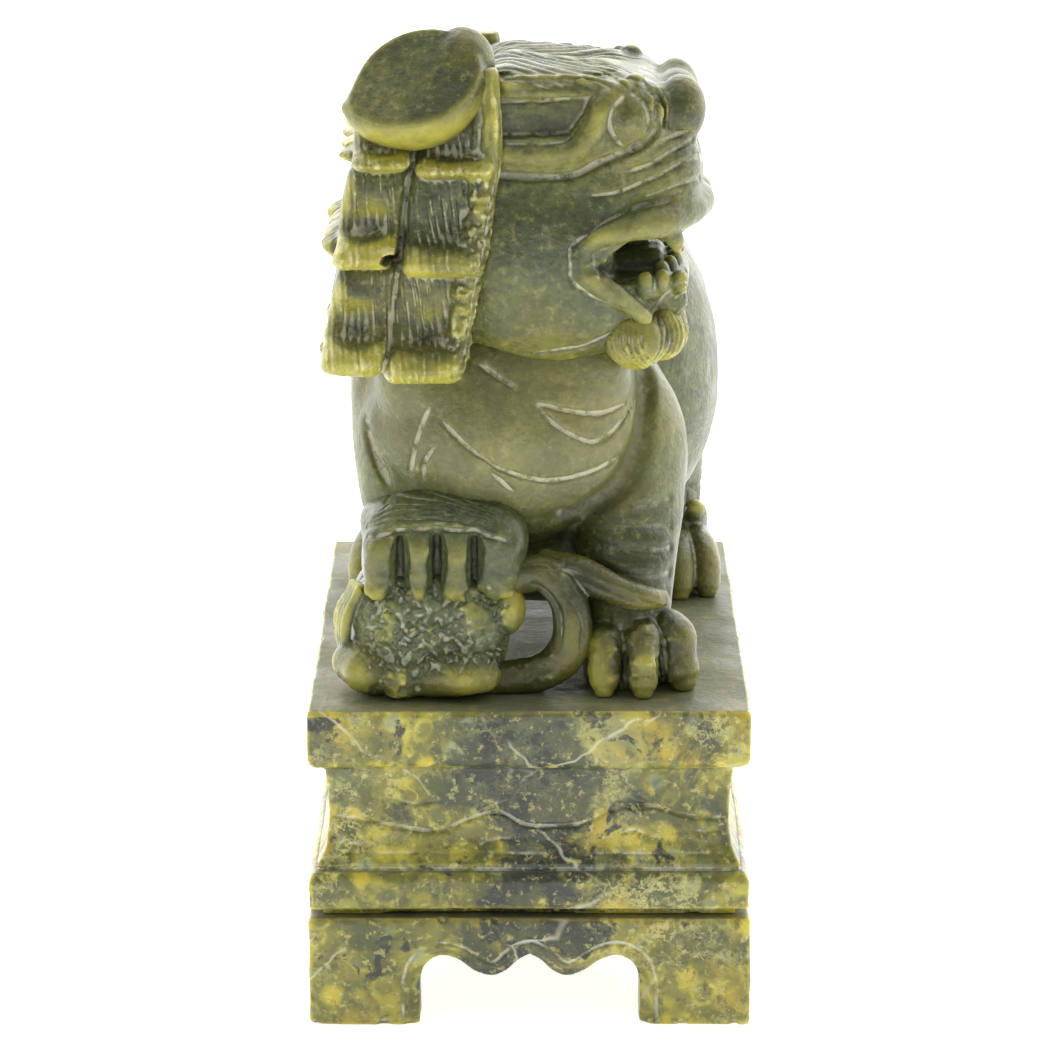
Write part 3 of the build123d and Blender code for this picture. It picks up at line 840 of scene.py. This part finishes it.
# ---------------------------------------------------------------- the pedestal
def moulded(section, half_x, half_y, low, high):
    """A block whose four sides carry one moulding: section(half) is its upright outline."""
    along, across = np.array(section(half_x)), np.array(section(half_y))

    def distance(p):
        d = outline_distance(along, np.abs(p[0]), p[2])
        return np.maximum(d, outline_distance(across, np.abs(p[1]), p[2]))

    return Form(distance, (-half_x - 1, -half_y - 1, low), (half_x + 1, half_y + 1, high))


def plinth_outline(half):
    """From the shadow gap up: round lower moulding, hollowed waist, and the cap."""
    face = half - 0.15
    low = PLINTH_LOW.z
    outline = [(-5, low), (face - 2.4, low), (face - 2.4, low + 1.3)]
    outline += [(face - 0.9 + 0.9 * math.sin(a), low + 2.4 - 1.0 * math.cos(a)) for a in np.linspace(0, 1.57,
                                                                                                     5)]
    outline += [(face - 1.6 + 1.6 * math.cos(a), 27.0 + 2.4 * math.sin(a)) for a in np.linspace(0.2, 1.5, 6)]
    outline += [(face - 1.9, 29.4), (face - 1.9, 29.9)]
    hollow = curve([(face - 1.4, 30.3, 0), (face - 2.2, 31.4, 0), (face - 3.2, 34, 0), (face - 3.6, 38.5, 0),
                    (face - 3.5, 44.5, 0), (face - 3.0, 48.2, 0)], 0.9)
    outline += [tuple(v[:2]) for v in hollow]
    outline += [(face - 2.2, 48.9)]
    outline += [(face - 2.1 + 2.1 * math.sin(a), 51.2 - 2.3 * math.cos(a)) for a in np.linspace(0.2, 1.57, 7)]
    return outline + [(face, SEAT_MM - 0.7), (face - 0.5, SEAT_MM), (-5, SEAT_MM)]


def around(clay, lines, radius, depth, seed):
    """Engraves lines of (place from -1 to 1, height) on all four faces, a little different on each."""
    rng = np.random.default_rng(seed)
    for toward, half, axis in (((0, 1, 0), 38, 0), ((-1, 0, 0), 57, 1), ((0, -1, 0), 38, 0),
                               ((1, 0, 0), 57, 1)):
        shift, flip = (0, 1) if toward[1] > 0 else (rng.uniform(-0.06, 0.06), rng.choice((-1, 1)))
        for line in lines:
            points = []
            for place, h in line:
                spot = [0, 0, h]
                spot[axis] = half * np.clip(place * flip + shift, -0.98, 0.98)
                spot[1 - axis] = -80 * toward[1 - axis]
                points.append(spot)
            clay.engrave([points], toward, radius, depth)


def make_plinth(stone):
    clay = Clay(PLINTH_LOW - Vector((2, 2, 2)), PLINTH_HIGH + Vector((2, 2, 2)), 0.42)
    clay.add(moulded(plinth_outline, PLINTH_HIGH.x, PLINTH_HIGH.y, PLINTH_LOW.z, SEAT_MM), 0)
    wave = [(-1, 39.4), (-0.78, 38.4), (-0.6, 37), (-0.43, 36.4), (-0.3, 38.4), (-0.15, 39.9), (-0.02, 37.5),
            (0.12, 37.3), (0.25, 37.8), (0.42, 40.6), (0.58, 41), (0.75, 39.2), (0.88, 38.7), (1, 39.8)]
    around(clay, [wave], 0.45, 0.45, 3)
    strokes = [[(-0.26, 32.9), (-0.2, 34.5), (-0.03, 35.3)], [(0.42, 35.6), (0.5, 36.5), (0.6, 34.8)],
               [(-0.9, 32.3), (-0.84, 34.1), (-0.7, 32.7)], [(0.75, 36.2), (0.93, 36.5)],
               [(-0.65, 42.7), (-0.55, 41.5), (-0.4, 42.4)]]
    around(clay, strokes, 0.35, 0.3, 5)
    around(clay, [[(-0.97, 32.6), (0, 32.4), (0.97, 32.5)]], 0.3, 0.2, 9)
    clay.roughen([(16, 0.16), (5, 0.09), (2, 0.06)], 211)
    chip_edges(clay, 40, 13, 0.5)
    p = clay.everywhere()
    clay.field = np.maximum(clay.field, np.maximum(PLINTH_LOW.z + 0.02 - p[2], p[2] - SEAT_MM + 0.02))
    bore_sockets(clay, "plinth")
    clay.piece("plinth_block", "plinth", stone)


def chip_edges(clay, count, seed, size):
    """Small knocks along the block's outer corners and edges."""
    rng = np.random.default_rng(seed)
    shape = np.array(clay.field.shape)
    low, high = clay.low + 2, clay.low + clay.voxel * (shape - 1) - 2
    for _ in range(count):
        spot = rng.uniform(low, high)
        for axis in rng.choice(3, 2, replace=False):
            spot[axis] = rng.choice((low[axis], high[axis]))
        radii = rng.uniform(0.5, 1.6, 3) * size * 2
        clay.cut(ball(spot, radii, tuple(rng.uniform(0, 90, 3))), 0.3)


def bore_sockets(clay, node):
    """The holes for the brass pins that stand in a stone, a little wider than the pins."""
    for pins in ("lion_dowels", "stand_dowels"):
        low, high = (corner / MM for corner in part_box(pins))
        for x, y in pin_places(low, high):
            top = high.z + 0.5 if pins == "stand_dowels" else SEAT_MM + 3
            bottom = low.z - 0.5 if pins == "lion_dowels" else PLINTH_LOW.z - 3
            if node == "stand":
                bottom, top = low.z, STAND_HIGH.z + 3
                if pins == "lion_dowels":
                    continue
            ends = [(x, y, bottom + PIN_RADIUS), (x, y, top + PIN_RADIUS)]
            clay.cut(tube_through(ends, PIN_RADIUS + PIN_CLEARANCE), 0)


def pin_places(low, high):
    """Where a pair of upright pins stands: at two corners of the pair's box."""
    return [(low.x + PIN_RADIUS, low.y + PIN_RADIUS), (high.x - PIN_RADIUS, high.y - PIN_RADIUS)]


ARCH = [(1.0, -2), (1.0, 8.2), (0.95, 11.2), (0.82, 12.9), (0.66, 12.3), (0.5, 10.2), (0.35, 9.1), (0.22, 10),
        (0.11, 12), (0, 13.3)]


def arch_outline(half_opening):
    """The scalloped opening between two feet, whole."""
    right = [(u * half_opening, h, 0) for u, h in ARCH]
    smooth = [tuple(v[:2]) for v in curve(right[1:], 0.8)]
    right = [right[0][:2]] + smooth
    return right + [(-u, h) for u, h in reversed(right[:-1])]


def make_stand(stone):
    clay = Clay(STAND_LOW - Vector((2, 2, 2)), STAND_HIGH + Vector((2, 2, 2)), 0.42)
    size = STAND_HIGH - STAND_LOW
    clay.add(block((0, 0, size.z / 2), (size.x - 0.2, size.y - 0.2, size.z), 0.9), 0)
    apron, ceiling = 9.0, 14.5
    clay.cut(block((0, 0, 0), (size.x - 2 * apron, size.y - 2 * apron, 2 * ceiling), 1.5), 0.4)
    for axis, half, foot in ((1, size.x / 2, 20.4), (0, size.y / 2, 25.0)):
        outline = arch_outline(half - foot)
        reach = (size.y if axis else size.x) / 2
        clay.cut(prism(outline, axis, -reach - 3, reach + 3), 0.3)
        clay.cut(scallop_bevel(outline, axis, reach, 2.8, 2.0), 0.1)
        clay.cut(scallop_line(outline, axis, reach, 3.0, 0.62), 0.1)
    clay.roughen([(16, 0.16), (5, 0.1), (2, 0.06)], 221)
    chip_edges(clay, 44, 17, 0.55)
    p = clay.everywhere()
    clay.field = np.maximum(clay.field, np.maximum(0.02 - p[2], p[2] - STAND_HIGH.z + 0.02))
    bore_sockets(clay, "stand")
    clay.piece("stand_block", "stand", stone)


def scallop_bevel(outline, axis, face, width, depth):
    """The sloping band that follows an arch on both faces, width wide and depth deep at the arch."""
    outline = np.array(outline)
    slope = width / depth

    def distance(p):
        d = outline_distance(outline, p[1 - axis], p[2])
        inward = face - np.abs(p[axis])
        return (d + slope * inward - width) / math.hypot(1, slope)

    low, high = np.full(3, -face - 3.0), np.full(3, face + 3.0)
    low[1 - axis], high[1 - axis] = outline[:, 0].min() - 3, outline[:, 0].max() + 3
    low[2], high[2] = -3, outline[:, 1].max() + 3
    return Form(distance, low, high)


def scallop_line(outline, axis, face, away, radius):
    """A fine cut on both faces, following an arch at a distance away from it."""
    outline = np.array(outline)

    def distance(p):
        d = outline_distance(outline, p[1 - axis], p[2])
        return np.hypot(d - away, face - np.abs(p[axis])) - radius

    low, high = np.full(3, -face - 1.0), np.full(3, face + 1.0)
    low[1 - axis], high[1 - axis] = outline[:, 0].min() - 4, outline[:, 0].max() + 4
    low[2], high[2] = -3, outline[:, 1].max() + 4
    return Form(distance, low, high)


# ---------------------------------------------------------------- materials
def tint(red, green, blue):
    """A colour given as it looks on a screen, from 0 to 255, in the renderer's linear values."""
    return tuple((c / 255 / 12.92 if c < 11 else ((c / 255 + 0.055) / 1.055) ** 2.4) for c in (red, green,
                                                                                               blue)) + (1,)


class Paint:
    """A node material under construction."""

    def __init__(self, name):
        self.material = bpy.data.materials.new(name)
        self.material.use_nodes = True
        self.tree = self.material.node_tree
        self.shader = self.tree.nodes["Principled BSDF"]
        self.place = self.node("ShaderNodeTexCoord").outputs["Object"]
        self.colour = None

    def node(self, kind, settings=(), **inputs):
        made = self.tree.nodes.new(kind)
        for key, value in dict(settings).items():
            setattr(made, key, value)
        for key, value in inputs.items():
            self.feed(made.inputs[int(key[1:]) if key[1:].isdigit() else key.replace("_", " ")], value)
        return made

    def feed(self, socket, value):
        if isinstance(value, bpy.types.NodeSocket):
            self.tree.links.new(value, socket)
        else:
            socket.default_value = value

    def noise(self, scale, detail=3.0, rough=0.55, distort=0.0, place=None):
        return self.node("ShaderNodeTexNoise", Vector=place or self.place, Scale=scale, Detail=detail,
                         Roughness=rough, Distortion=distort).outputs["Fac"]

    def step(self, value, low, high, start=0.0, end=1.0):
        """Value, moved from low..high to start..end and held there."""
        return self.node("ShaderNodeMapRange", {"interpolation_type": "SMOOTHSTEP"}, _0=value, _1=low,
                         _2=high, _3=start, _4=end).outputs[0]

    def math(self, operation, a, b=0.0):
        return self.node("ShaderNodeMath", {"operation": operation}, _0=a, _1=b).outputs[0]

    def mix(self, factor, a, b):
        made = self.node("ShaderNodeMix", {"data_type": "RGBA"})
        self.feed(made.inputs[0], factor)
        self.feed(made.inputs[6], a)
        self.feed(made.inputs[7], b)
        return made.outputs[2]

    def over(self, factor, red, green, blue):
        """Lays one more colour over what is there, as strongly as factor says."""
        self.colour = self.mix(factor, self.colour, tint(red, green, blue))

    def times(self, a, b):
        return self.math("MULTIPLY", a, b)

    def attribute(self, name):
        return self.node("ShaderNodeAttribute", {"attribute_name": name}).outputs["Fac"]

    def warped(self, scale, amount):
        """The place, pushed about by noise, so that what is drawn there looks grown."""
        wave = self.node("ShaderNodeTexNoise", Vector=self.place, Scale=scale, Detail=2.0).outputs["Color"]
        shift = self.node("ShaderNodeVectorMath", {"operation": "SUBTRACT"}, _0=wave,
                          _1=(0.5, 0.5, 0.5)).outputs[0]
        shift = self.node("ShaderNodeVectorMath", {"operation": "SCALE"}, _0=shift, Scale=amount).outputs[0]
        return self.node("ShaderNodeVectorMath", {"operation": "ADD"}, _0=self.place, _1=shift).outputs[0]

    def bump(self, layers):
        """Fine bumps, each a (height, size in metres) pair, one on another."""
        normal = None
        for height, size in layers:
            made = self.node("ShaderNodeBump", Height=height, Distance=size, Strength=1.0)
            if normal:
                self.feed(made.inputs["Normal"], normal)
            normal = made.outputs["Normal"]
        self.feed(self.shader.inputs["Normal"], normal)


def lion_stone():
    """Dark olive serpentine: cloudy, finely speckled, yellow where it is worn on proud parts, with a painted
    glow there and where thin parts face down, painted shade in the hollows, a painted highlight speckled
    along sharp edges, and pale powder left in the cuts."""
    paint = Paint("lion_stone")
    clouds = paint.noise(42, 5.0, 0.62, 0.7)
    paint.colour = paint.mix(paint.step(clouds, 0.34, 0.64), tint(58, 61, 29), tint(98, 100, 51))
    paint.over(paint.step(paint.noise(24, 3.0), 0.48, 0.66, 0, 0.55), 84, 98, 70)
    paint.over(paint.step(paint.noise(31, 4.0, 0.6, 0.4), 0.53, 0.68, 0, 0.45), 118, 112, 42)
    fine = paint.noise(620, 3.0, 0.7)
    paint.over(paint.step(fine, 0.36, 0.54, 0.5, 0.0), 46, 50, 32)
    paint.over(paint.step(fine, 0.54, 0.70, 0.0, 0.4), 144, 142, 92)
    paint.over(paint.step(paint.noise(330, 2.0, 0.6), 0.62, 0.72, 0, 0.6), 40, 46, 38)
    deep, broad, close = (paint.attribute(name) for name in ("deep_relief", "broad_relief", "fine_relief"))
    # painted light: faces that look down are painted yellow, as strongly as the piece's thin-glow value says,
    # for light through the stone from below
    down = paint.node("ShaderNodeSeparateXYZ",
                      _0=paint.node("ShaderNodeNewGeometry").outputs["Normal"]).outputs[2]
    lit = paint.times(paint.step(down, -0.65, 0.0, 1.0, 0.0), paint.attribute("thin_glow"))
    # where the yellow goes: proud parts, which are worn and also get a painted glow, and the faces painted as
    # lit from below
    thin_glow = paint.math("MAXIMUM", paint.step(broad, 0.12, 0.46), paint.step(deep, 0.22, 0.62))
    thin_glow = paint.math("MAXIMUM", thin_glow, lit)
    # yellow of real wear on proud parts, together with the painted glow there and on thin parts lit from
    # below
    worn = paint.times(thin_glow, paint.step(paint.noise(75, 4.0, 0.6), 0.32, 0.62, 0.3, 0.85))
    paint.over(worn, 170, 163, 64)
    # painted shade: darker in the hollows, and darker still deep inside them
    paint.over(paint.step(broad, -0.46, -0.12, 0.85, 0), 38, 40, 24)
    paint.over(paint.step(deep, -0.5, -0.08, 0.85, 0), 32, 31, 16)
    # painted shade where a piece's shade is over 0, and painted light, paler, where it is under 0
    shade = paint.attribute("shade")
    paint.over(paint.step(shade, 0.0, 1.0, 0.0, 0.75), 40, 42, 22)
    paint.over(paint.step(shade, -1.0, 0.0, 0.8, 0.0), 138, 138, 92)
    powder = paint.times(paint.step(close, -0.26, -0.07, 1.0, 0.0),
                         paint.step(paint.noise(420, 4.0, 0.7), 0.34, 0.54))
    powder = paint.times(powder, paint.step(broad, -0.55, -0.2, 0.25, 1.0))
    paint.over(paint.times(powder, 0.62), 206, 204, 178)
    # painted highlight: pale specks along sharp proud edges
    speckled_edge_highlight = paint.times(paint.step(close, 0.10, 0.34), paint.step(paint.noise(500, 3.0, 0.7), 0.45, 0.62))
    paint.over(paint.times(speckled_edge_highlight, 0.6), 202, 198, 146)
    paint.feed(paint.shader.inputs["Base Color"], paint.colour)
    polish = paint.step(paint.noise(60, 4.0), 0.35, 0.7, 0.26, 0.42)
    paint.feed(paint.shader.inputs["Roughness"], paint.math("ADD", polish, paint.times(powder, 0.3)))
    glow(paint, 0.3, 0.002)
    paint.shader.inputs["Specular IOR Level"].default_value = 0.4
    paint.bump([(paint.noise(160, 4.0, 0.65), 0.0005), (paint.noise(900, 3.0, 0.7), 0.0002)])
    return paint.material


def glow(paint, weight, reach):
    """Light that soaks into the stone and comes out near by, yellower than it went in."""
    paint.shader.inputs["Subsurface Weight"].default_value = weight
    paint.shader.inputs["Subsurface Radius"].default_value = (1.0, 0.9, 0.3)
    paint.shader.inputs["Subsurface Scale"].default_value = reach


def pedestal_stone():
    """Brecciated serpentine: yellow, olive and grey-green clots in a darker ground, laced with pale
    crackle, with blue-black spots and a dark seam running up through the block."""
    paint = Paint("pedestal_stone")
    grown = paint.warped(75, 0.010)
    ground = paint.noise(50, 5.0, 0.62, 0.3, grown)
    paint.colour = paint.mix(paint.step(ground, 0.36, 0.62), tint(84, 88, 30), tint(172, 163, 58))
    clots = paint.node("ShaderNodeTexVoronoi", {"feature": "SMOOTH_F1"}, Vector=paint.warped(160, 0.005),
                       Scale=230.0, Smoothness=0.35)
    pick = paint.node("ShaderNodeSeparateXYZ", _0=clots.outputs["Color"])
    body = paint.step(clots.outputs["Distance"], 0.26, 0.46, 1.0, 0.0)
    for channel, low, high, shade, much in ((0, 0.45, 0.62, (186, 168, 46), 0.75),
                                            (1, 0.52, 0.68, (136, 146, 112), 0.8),
                                            (2, 0.50, 0.66, (84, 90, 46), 0.75)):
        chosen = paint.times(paint.step(pick.outputs[channel], low, high, 0, much), body)
        paint.over(chosen, *shade)
    paint.over(paint.step(clots.outputs["Distance"], 0.42, 0.62, 0, 0.55), 66, 70, 38)
    paint.over(paint.step(paint.noise(30, 3.0, 0.5, 0.3), 0.52, 0.66, 0, 0.5), 120, 128, 98)
    paint.over(paint.step(paint.noise(38, 4.0, 0.6, 0.4), 0.55, 0.68, 0, 0.7), 186, 160, 34)
    # the dark seam, and spots gathered along it
    x = paint.node("ShaderNodeSeparateXYZ", _0=paint.warped(75, 0.02)).outputs[0]
    seam = paint.step(paint.math("ABSOLUTE", paint.math("SUBTRACT", x, 0.001)), 0.0, 0.018, 1.0, 0.0)
    patches = paint.math("ADD", paint.noise(70, 5.0, 0.66, 0.6), paint.times(seam, 0.22))
    paint.over(paint.step(patches, 0.53, 0.66, 0, 0.9), 56, 62, 42)
    spots = paint.math("ADD", paint.noise(120, 4.0, 0.62, 0.5), paint.times(seam, 0.16))
    paint.over(paint.step(spots, 0.61, 0.66, 0, 0.95), 38, 43, 34)
    # pale crackle: fine lace in places, and a few long healed cracks
    lace = paint.math("ABSOLUTE", paint.math("SUBTRACT", paint.noise(330, 5.0, 0.75, 0.2), 0.5))
    where = paint.step(paint.noise(34, 3.0, 0.6), 0.42, 0.62)
    lace = paint.times(paint.step(lace, 0.0, 0.07, 1.0, 0.0), where)
    lace = paint.times(lace, paint.step(paint.noise(160, 3.0, 0.6), 0.38, 0.62))
    lace = paint.times(lace, paint.step(seam, 0.1, 0.9, 1.0, 0.2))
    paint.over(paint.times(lace, 0.65), 204, 197, 126)
    veins = paint.node("ShaderNodeTexVoronoi", {"feature": "DISTANCE_TO_EDGE"},
                       Vector=paint.warped(130, 0.005), Scale=34).outputs["Distance"]
    webs = paint.times(paint.step(veins, 0.0, 0.014, 1.0, 0.0), paint.step(paint.noise(55, 3.0), 0.48, 0.6))
    paint.over(paint.times(webs, 0.55), 206, 204, 176)
    paint.over(paint.step(paint.noise(430, 3.0, 0.7), 0.54, 0.66, 0, 0.6), 62, 68, 40)
    paint.over(paint.step(paint.noise(610, 3.0, 0.7), 0.55, 0.68, 0, 0.45), 206, 198, 122)
    broad, close = paint.attribute("broad_relief"), paint.attribute("fine_relief")
    powder = paint.times(paint.step(close, -0.26, -0.05, 1.0, 0.0),
                         paint.step(paint.noise(260, 4.0), 0.4, 0.6))
    powder = paint.times(powder, paint.step(broad, -0.2, -0.06))
    paint.over(paint.times(powder, 0.6), 220, 218, 200)
    # painted shade: darker in the broad hollows
    paint.over(paint.step(broad, -0.34, -0.1, 0.7, 0.0), 58, 58, 30)
    # painted highlight: yellow along sharp proud edges
    paint.over(paint.step(close, 0.12, 0.4, 0, 0.6), 196, 180, 66)
    # the cap's upper face is ground rougher, and tinted a pale, nearly even grey as a painted reflection of
    # the bright room
    facing = paint.node("ShaderNodeSeparateXYZ",
                        _0=paint.node("ShaderNodeNewGeometry").outputs["True Normal"]).outputs[2]
    ground_top_and_painted_sheen = paint.times(paint.step(facing, 0.8, 0.98), 0.75)
    paint.over(ground_top_and_painted_sheen, 100, 101, 77)
    paint.feed(paint.shader.inputs["Base Color"], paint.colour)
    polish = paint.step(paint.noise(70, 4.0), 0.3, 0.7, 0.2, 0.42)
    paint.feed(paint.shader.inputs["Roughness"], paint.math("ADD", polish, paint.times(ground_top_and_painted_sheen, 0.3)))
    glow(paint, 0.25, 0.0016)
    paint.bump([(paint.noise(120, 4.0, 0.6), 0.0004), (paint.noise(900, 3.0, 0.7), 0.00014)])
    return paint.material


def dull_brass():
    paint = Paint("dull_brass")
    worn = paint.noise(240, 4.0, 0.65)
    paint.colour = paint.mix(paint.step(worn, 0.4, 0.65), tint(206, 168, 92), tint(150, 116, 62))
    paint.feed(paint.shader.inputs["Base Color"], paint.colour)
    paint.shader.inputs["Metallic"].default_value = 1.0
    paint.feed(paint.shader.inputs["Roughness"], paint.step(worn, 0.35, 0.7, 0.28, 0.5))
    rings = paint.node("ShaderNodeTexWave", {"bands_direction": "Z"}, Vector=paint.place, Scale=900.0,
                       Distortion=1.5).outputs["Fac"]
    paint.bump([(rings, 0.00006)])
    return paint.material


# ---------------------------------------------------------------- floor, light and camera
def make_stage():
    floor_mesh = bpy.data.meshes.new("floor")
    reach = 3.0
    floor_mesh.from_pydata([(-reach, -reach, 0), (reach, -reach, 0), (reach, reach, 0), (-reach, reach, 0)],
                           [], [(0, 1, 2, 3)])
    floor = bpy.data.objects.new("floor", floor_mesh)
    bpy.context.scene.collection.objects.link(floor)
    white = Paint("floor_white")
    white.shader.inputs["Base Color"].default_value = (0.86, 0.86, 0.85, 1)
    white.shader.inputs["Roughness"].default_value = 0.9
    white.shader.inputs["Emission Color"].default_value = (1, 1, 1, 1)
    white.shader.inputs["Emission Strength"].default_value = 0.8
    floor_mesh.materials.append(white.material)


def make_world():
    """A white room, bright behind the statue and dimmer on the viewer's side."""
    world = bpy.data.worlds.new("studio")
    bpy.context.scene.world = world
    world.use_nodes = True
    tree = world.node_tree
    nodes, link = tree.nodes, tree.links.new
    way = nodes.new("ShaderNodeTexCoord").outputs["Generated"]
    split = nodes.new("ShaderNodeSeparateXYZ")
    link(way, split.inputs[0])
    ramp = nodes.new("ShaderNodeMapRange")
    front, back, dim, bright, in_the_picture = -0.5, 0.5, 0.53, 3.1, 1.15
    for socket, value in zip(list(ramp.inputs)[1:5], (front, back, dim, bright)):
        socket.default_value = value
    link(split.outputs[1], ramp.inputs[0])
    seen = nodes.new("ShaderNodeLightPath").outputs["Is Camera Ray"]
    pick = nodes.new("ShaderNodeMix")
    link(seen, pick.inputs[0])
    link(ramp.outputs[0], pick.inputs[2])
    pick.inputs[3].default_value = in_the_picture
    nodes["Background"].inputs["Color"].default_value = (1, 1, 1, 1)
    link(pick.outputs[0], nodes["Background"].inputs["Strength"])


def make_camera():
    """A long lens in front of the statue, 15 degrees above level."""
    camera = bpy.data.cameras.new("camera")
    camera.sensor_width = 36.0
    camera.lens = 154.9
    tilt_down = 15
    made = bpy.data.objects.new("camera", camera)
    made.location = (0, -0.8387, 0.303)
    made.rotation_euler = (math.radians(90 - tilt_down), 0, 0)
    camera.shift_x = -0.001
    camera.clip_start = 0.01
    bpy.context.scene.collection.objects.link(made)
    bpy.context.scene.camera = made


# ---------------------------------------------------------------- put together
green, mottled = lion_stone(), pedestal_stone()
brass = dull_brass()
for node in ("lion_dowels", "stand_dowels"):
    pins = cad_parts[node]
    pins.data.materials.clear()
    pins.data.materials.append(brass)
make_head(green)
make_ears(green)
make_mane(green)
make_beard(green)
make_body(green)
make_left_forefoot(green)
make_right_forepaw(green)
make_hind_feet(green)
make_cub(green)
make_ribbon(green)
make_tail(green)
make_spine_curls(green)
make_plinth(mottled)
make_stand(mottled)
make_stage()
make_world()
make_camera()
bpy.context.scene.view_settings.view_transform = "Standard"
